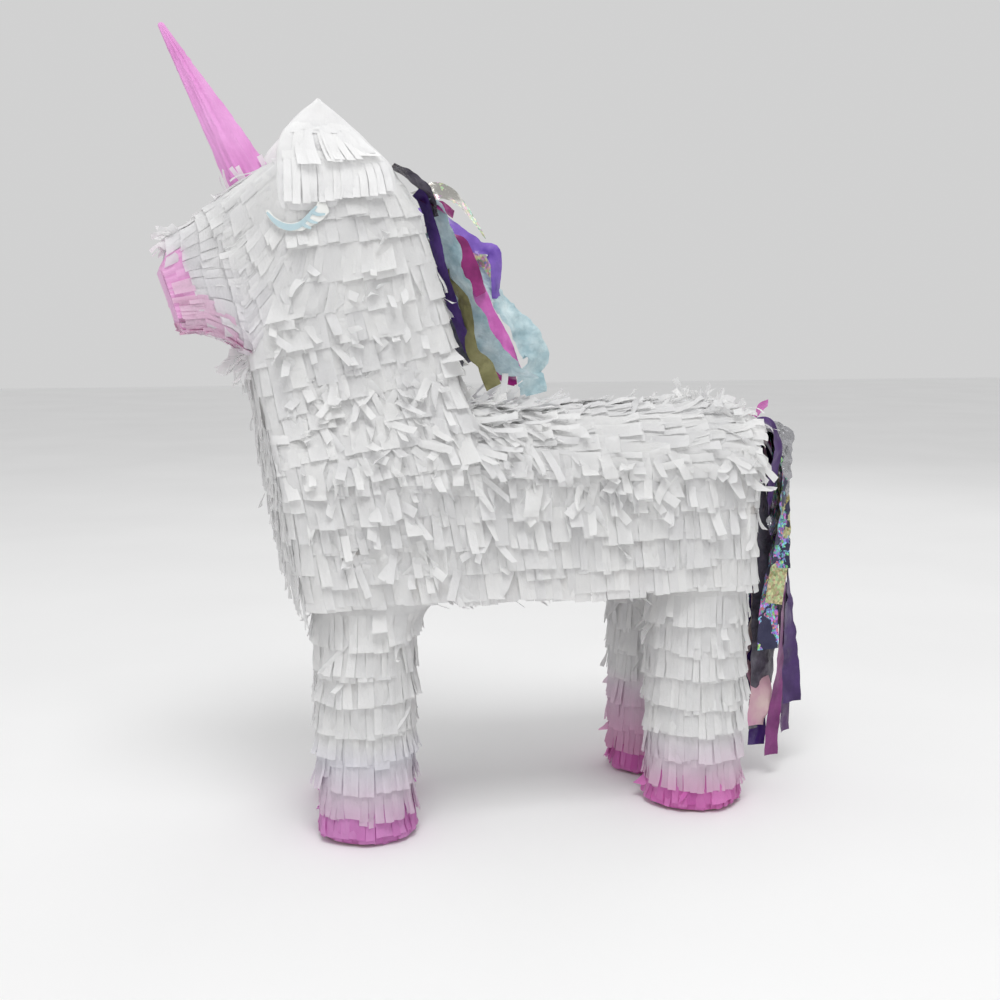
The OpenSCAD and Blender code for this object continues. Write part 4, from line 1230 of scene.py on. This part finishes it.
# name, look, slot, the two edges at (x, z, x, z) from the root down, y, width and what differs from a plain ribbon
MANE = [
    ("mane_film_top", "black", "ribbon_foil",
     [(-76, 438.5, -75, 440.5), (-69.3, 435.9, -68.3, 437.9), (-61.9, 430.5, -59.8, 433.6),
      (-54.5, 424, -51.8, 427.6), (-50.8, 417.9, -47.1, 420.5), (-48.5, 408, -44, 410)],
     [-45, -45, -44, -42, -38, -34], 13, dict(side=-1)),
    ("mane_silver_leaf", "silver", "ribbon_foil",
     [(-58, 423, -58, 426), (-51, 424, -51, 428), (-48.4, 421.4, -48.3, 431), (-44.9, 421, -43.5, 433),
      (-37.4, 420.8, -37.3, 432.5), (-28.4, 416.6, -29, 428.3), (-21.5, 409.4, -21.8, 420),
      (-14.5, 402.4, -15, 409.5), (-8.9, 396.4, -8.4, 397)],
     -24, 14, dict(replaces=("mane_foil",), point=0.4, crumple=0.5)),
    ("mane_wine_short", "wine", "ribbon_magenta",
     [(-56.5, 419, -55.5, 422), (-48.5, 416.1, -47.4, 421.6), (-42, 412.6, -39.8, 419.9), (-34.9, 409, -30, 413.8)],
     -33, 11, {}),
    ("mane_violet", "violet", "ribbon_purple",
     [(-54, 412, -53, 417), (-35.1, 414.3, -35, 421.5), (-29.4, 411, -25.8, 416.2), (-18.8, 397.5, -11, 405.1),
      (-8, 389.8, 2.9, 397.4), (0.2, 388.6, 12.4, 394.1), (4.4, 383, 14.6, 384.8), (5, 371.2, 14.2, 371.3),
      (5.6, 358.6, 14, 357.4)],
     16, 12, dict(replaces=("mane_purple",), crumple=0.4)),
    ("mane_blue_long", "sky", "ribbon_blue",
     [(-55, 417, -50, 420), (-51, 413.7, -42.5, 418.6), (-47.3, 408, -36.9, 409), (-42.7, 400.3, -31.9, 396.6),
      (-37.8, 387.5, -26.9, 383.7), (-31.9, 372.5, -26.7, 374.6), (-25.5, 365.8, -22.6, 365.8),
      (-23.2, 356.2, -17.4, 354.9), (-24, 344.2, -9, 341.6), (-16.9, 325.5, 1.6, 326.1),
      (-3.8, 311.9, 12.8, 315.9), (5.7, 307, 18.9, 310.3), (18.2, 304.8, 24.2, 307.4), (29.7, 302.6, 30.6, 304.4)],
     -31, 18, dict(replaces=("mane_blue",), low_y=-20, side=-1, crumple=1.3, point=0.12)),
    ("mane_magenta_long", "magenta", "ribbon_magenta",
     [(-52, 404, -51, 408), (-38, 399, -36, 404), (-27, 393.4, -16.3, 397.5), (-21.5, 381.6, -10.6, 387.4),
      (-15.5, 366.1, -4.9, 372.4), (-11.5, 355.8, 0.8, 360.3), (-6, 342.1, 7.3, 347.6), (3.6, 328.3, 14.5, 333.7),
      (13.1, 316.4, 19.6, 323.3), (23, 306, 25, 308)],
     0, 12, dict(replaces=("mane_magenta",), crumple=0.5)),
    ("mane_blue_loop", "sky", "ribbon_blue",
     [(-51, 402, -50, 406), (-34, 395, -32, 400), (-15.3, 382.1, -6.6, 388), (-7.1, 374.9, 3, 377.3),
      (-4, 366.6, 11.9, 365.3), (3.4, 351.9, 24, 352.7), (15, 337.8, 37.4, 341.5), (23.8, 323.6, 45.7, 328.6),
      (28, 313.5, 50.7, 319.8), (25.5, 302.1, 45.2, 309.1), (21.8, 295, 50.5, 300.4), (21, 289.3, 54.3, 291)],
     13, 22, dict(crumple=1.7, low_y=17)),
    ("mane_olive", "olive", "ribbon_gold",
     [(-50, 389, -49, 393), (-42, 384, -38, 389), (-35.1, 368.8, -31.8, 370.4), (-31.8, 359.3, -26.3, 357.1),
      (-28.6, 347.6, -23, 344.3), (-27, 334.7, -21.9, 332.5), (-23.1, 317.5, -17.8, 322.8),
      (-16.4, 312, -7.7, 315.1), (-15.3, 305.5, 0.5, 305.8), (-10, 297, 4, 298.5)],
     [-14, -15, -17, -41, -43, -42, -40, -34, -28, -24], 11, dict(side=-1)),
    ("mane_indigo", "indigo", "ribbon_purple",
     [(-60, 423, -57, 426), (-58.8, 421, -51.5, 423.3), (-54.9, 415.4, -49, 414.6), (-50.3, 399.9, -44.4, 400),
      (-45.7, 380.6, -39.9, 380.7), (-41.1, 362.5, -34.5, 363.8), (-37.2, 348.1, -29.8, 350.7),
      (-33.1, 336.3, -24.4, 337.6), (-26.3, 322.3, -17.6, 321.6)],
     -36, 10.5, dict(side=-1, turn=0.5)),
    ("mane_wine_mid", "wine", "ribbon_magenta",
     [(-50, 404, -49, 408), (-38, 399.5, -36, 404.5), (-27.5, 393.4, -16.5, 397.5), (-22, 381.6, -11, 387.4),
      (-16, 368, -5.5, 374), (-10.5, 358.5, -2, 362.5)],
     -4, 12, dict(crumple=0.5)),
    ("mane_violet_low", "violet", "ribbon_purple",
     [(-47, 384, -46, 389), (-34, 376, -30, 381), (-24, 355, -12, 363), (-18.1, 341.3, 10, 346),
      (-17, 328.2, 17.5, 337), (-8.4, 316, 19.5, 330), (-5, 308.4, 17, 321.5)],
     8, 21, dict(crumple=0.8)),
    ("mane_slate", "slate", "ribbon_foil",
     [(-49, 388, -48, 392), (-40, 383, -34, 387), (-31.9, 370.1, -21.4, 371.1), (-27.6, 358.4, -18.4, 357.2),
      (-22.6, 342.3, -15.5, 344.3), (-17, 323, -9, 326)],
     -4, 14, {}),
    ("mane_holo", "holo_pale", "ribbon_foil",
     [(-52, 406, -51, 410), (-36, 402, -33, 408), (-20, 396, -12, 402), (-8.8, 387, 3.4, 391.2),
      (-3.6, 377.1, 8.4, 384.8), (3.1, 366.6, 10.4, 370.6)],
     25, 15, {}),
    ("mane_wine_low", "wine", "ribbon_magenta",
     [(-42, 364, -41, 368), (-28, 352, -24, 357), (-14, 338, -8, 343), (-8, 316, 0, 323), (4.9, 303.1, 9.5, 310.1),
      (10.7, 299.1, 16.5, 306.8), (18.5, 297.4, 22.9, 303.9)],
     2, 12, {}),
    ("mane_dark_back", "black", "ribbon_foil",
     [(-54, 402, -53, 407), (-46, 398, -40, 403), (-34, 376, -24, 383), (-26, 350, -12, 357), (-22, 328, -8, 335),
      (-14, 310, -2, 315)],
     27, 17, {}),
]
for i, (name, mat, slot, edges, y, wide, more) in enumerate(MANE):
    ribbon(name, mat, slot, edges, y, wide, i, **more)

TAIL = [
    ("tail_film_dark", "black", "ribbon_foil",
     [(215.7, 254.8, 230.7, 250.7), (208.3, 232.8, 231.6, 224.6), (203.5, 210.6, 231.8, 202),
      (201.5, 165.4, 232.2, 163.9), (200.3, 119.6, 226.9, 117.9), (198.6, 73.5, 222.2, 63.9),
      (196.5, 41.2, 215.8, 34.9)],
     -4, 28, dict(low_y=-9, crumple=1.2, replaces=("tail_foil",))),
    ("tail_silver", "steel", "ribbon_foil",
     [(210.8, 261.4, 230.5, 260.5), (210.9, 244.6, 230.3, 240.4), (211.9, 226.2, 227.9, 222),
      (210.1, 205.4, 226.7, 201.8), (208.5, 187.2, 221.9, 183.7)],
     -11, 18, dict(low_y=-15, crumple=2.2)),
    ("tail_foil_front", "holo", "ribbon_foil",
     [(214, 250, 226, 251), (216, 232.7, 228, 232.4), (213.5, 200, 227.7, 201.8), (210.9, 181.8, 226.8, 181.2),
      (207.7, 162.6, 226.1, 161)],
     -8, 18, dict(low_y=-21, crumple=1.3)),
    ("tail_gold", "gold", "ribbon_gold",
     [(213, 240, 224, 241), (215.5, 209.8, 229.3, 209.5), (211.2, 173.8, 226.9, 171.6),
      (206.3, 152.5, 222.7, 150.1), (203.3, 136.8, 219.1, 134.6)],
     -5, 16.5, dict(low_y=-23, crumple=0.5)),
    ("tail_holo_low", "holo", "ribbon_foil",
     [(210, 235, 222, 236), (208.3, 180.6, 221.5, 180), (202.5, 144.2, 219.8, 143.3), (201, 134.1, 219.2, 130.7),
      (200.1, 118.4, 219.1, 114.9), (199.3, 101.4, 219.3, 99.6)],
     -9, 19.5, dict(low_y=-20, crumple=0.6)),
    ("tail_violet_in", "lilac", "ribbon_purple",
     [(206, 252.7, 215.8, 250.8), (201.2, 229.2, 212.4, 231.8), (201.2, 213.1, 209.9, 218.7),
      (202.3, 201.7, 207.3, 203.1)],
     -24, 12, {}),
    ("tail_magenta_long", "berry", "ribbon_magenta",
     [(212, 250, 224, 252), (219, 235, 229, 236), (223.7, 209.4, 230.8, 209.2), (224.5, 164.2, 231.5, 164),
      (222, 134.4, 229, 134.1), (220.2, 104.2, 228.1, 103.8), (215.9, 65.9, 227.1, 65.2), (210.6, 35.2, 224, 30.2),
      (211, 21, 222.8, 13)],
     -6, 12.5, dict(low_y=-15, replaces=("tail_magenta",), crumple=0.5)),
    ("tail_violet_long", "lilac", "ribbon_purple",
     [(214, 254, 226, 257), (221, 240, 232, 243), (228, 220.7, 237.4, 221.5), (231.6, 185.3, 239.5, 185.1),
      (231.8, 150.7, 240.5, 151.9), (230.7, 115.9, 244.9, 115.2), (231, 76.6, 248.8, 75.5),
      (232.1, 51.7, 249.5, 52.6)],
     [16, 16, 14, 10, 6, 4, 3, 2, 1, 0], 18, dict(replaces=("tail_purple",), crumple=0.8)),
    ("tail_violet_back", "plum", "ribbon_purple",
     [(213, 252, 225, 255), (223.2, 231.1, 234.9, 232.7), (228.6, 161.7, 239.8, 161.2), (231.2, 99.3, 244.3, 94.6),
      (232.4, 59.6, 244.8, 50.8), (233.1, 32.9, 244, 22.7)],
     16, 14, dict(low_y=5)),
    ("tail_cream", "cream", "ribbon_magenta",
     [(209, 230, 221, 231), (205.5, 180, 220.4, 180), (203, 134.9, 219.4, 134.1), (199.5, 89.7, 218.4, 88.5),
      (197.3, 71, 217.3, 64.2), (194.8, 58.6, 213.6, 48.9), (194.3, 47, 209.7, 36.7)],
     [0, 0, 0, 0, 2, 2, -15, -17, -17], 20, dict(crumple=0.8)),
    ("tail_indigo_low", "indigo", "ribbon_purple",
     [(209, 228, 222, 229), (205.2, 164.5, 221.1, 163.8), (202, 103.8, 218, 102.8), (200.3, 40.6, 215.7, 34.7),
      (198.9, 28.1, 214.4, 20.5)],
     [2, 2, 3, 3, 3, -9, -10], 16, {}),
    ("tail_holo_back", "holo", "ribbon_foil",
     [(208, 250, 222, 252), (206, 200, 224, 200), (207, 130, 226, 130), (208, 60, 226, 62)],
     16, 19, dict(crumple=1.0)),
    ("tail_dark_back", "black", "ribbon_foil",
     [(207, 251, 221, 253), (206, 210, 225, 212), (208, 150, 228, 150), (210, 100, 229, 102)],
     25, 20, dict(crumple=0.9)),
]
TAIL_START = [(187.5, 270.5, 190.5, 272), (200, 266, 207, 272)]
for i, (name, mat, slot, edges, y, wide, more) in enumerate(TAIL):
    ribbon(name, mat, slot, TAIL_START + edges, y, wide, 50 + i, "tail", rests=("tail_root",), **more)
# a short end tucked under the paper on top of the rump
ribbon("rump_tip_magenta", "magenta", "ribbon_magenta",
       [(176, 275, 177, 272), (184, 278, 190, 275), (187.1, 283.5, 194.8, 279.2), (193, 286.7, 199.2, 282.6)],
       -36, 10, 70, rests=("tail_anchor",))


def make_tail_head():
    """Crumpled paper rolled round the ribbons' upper ends."""
    rng = np.random.default_rng(45)
    sh = Sheet("tail_head")
    y = np.linspace(-36.5, 36.5, 60)
    a = np.linspace(0, 2 * np.pi, 40, endpoint=False)
    Y, A = np.meshgrid(y, a, indexing="ij")
    wave = Waves(rng, 7, 24, 8, 2)
    end = 1 - 0.35 * np.clip((np.abs(Y) - 32) / 5, 0, 1) ** 2
    mid = np.abs(Y) < 7
    R = np.where(mid, 6.9, (7.2 + 0.5 * wave(Y, A * 7)) * end)
    p = np.stack([190 + R * np.cos(A), Y, 264 + R * np.sin(A)], -1)
    sh.grids(p[None], 0, True)
    for k in (0, -1):
        sh.fan(p[k], p[k].mean(axis=0))
    n = 40
    x, half = rng.uniform(190, 195, n), rng.choice([-1, 1], n)
    at = np.stack([x, half * rng.uniform(9, 35, n), rng.uniform(268, 270, n)], -1)
    d = draws(rng, n, (0.5, 1.0), [0, 0.4], (-0.6, 0.3))
    strips(sh, rng, at, d, UP, (9, 17), (4.5, 6.5), (20, 70), 35, 15)
    sh.make([MAT["white"]], body="tail", replaces=("tail_root",))


make_tail_head()

# ---------------------------------------------------------------- the CAD pieces that stay
def repaint(look, *nodes):
    """Gives CAD nodes one material."""
    for n in nodes:
        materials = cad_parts[n].data.materials
        materials.clear()
        materials.append(MAT[look])


BOARDS = "flank_", "neck_side", "leg_front", "leg_rear", "sole_", "hanger_", "horn_cone", "ear_left", "ear_right"
repaint("board", *(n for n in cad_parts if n.endswith("_panel") or n.startswith(BOARDS)))
repaint("papered", "back_wrap", "fill_flap")
repaint("nose", "nose_patch", "nose_panel")
repaint("smooth", "mane_tape", "tail_anchor")
# the head's boards are papered: white, and pink where they end at the nose
MAT["head_paper"] = tissue("tissue_head", *WHITE, axis=((-100, 0, 0), 100 * metres((-196, 0, 0))[0]),
                           stops=[(0.4, (1, 1, 1)), (0.7, (0.92, 0.55, 0.78))], through=0.1)
repaint("head_paper", "forehead_panel", "neck_side_left", "neck_side_right", "jaw_panel")

# ---------------------------------------------------------------- floor
bpy.ops.mesh.primitive_plane_add(size=14, location=(0, 0, -0.0005))
floor = bpy.context.object
floor.name = "floor"
fm = Nodes("floor")
fm.put(Base_Color=fm.ramp(fm.noise(3, 2), [(0.3, (0.9, 0.9, 0.9)), (0.7, (0.93, 0.93, 0.93))]), Roughness=0.9)
floor.data.materials.append(fm.mat)
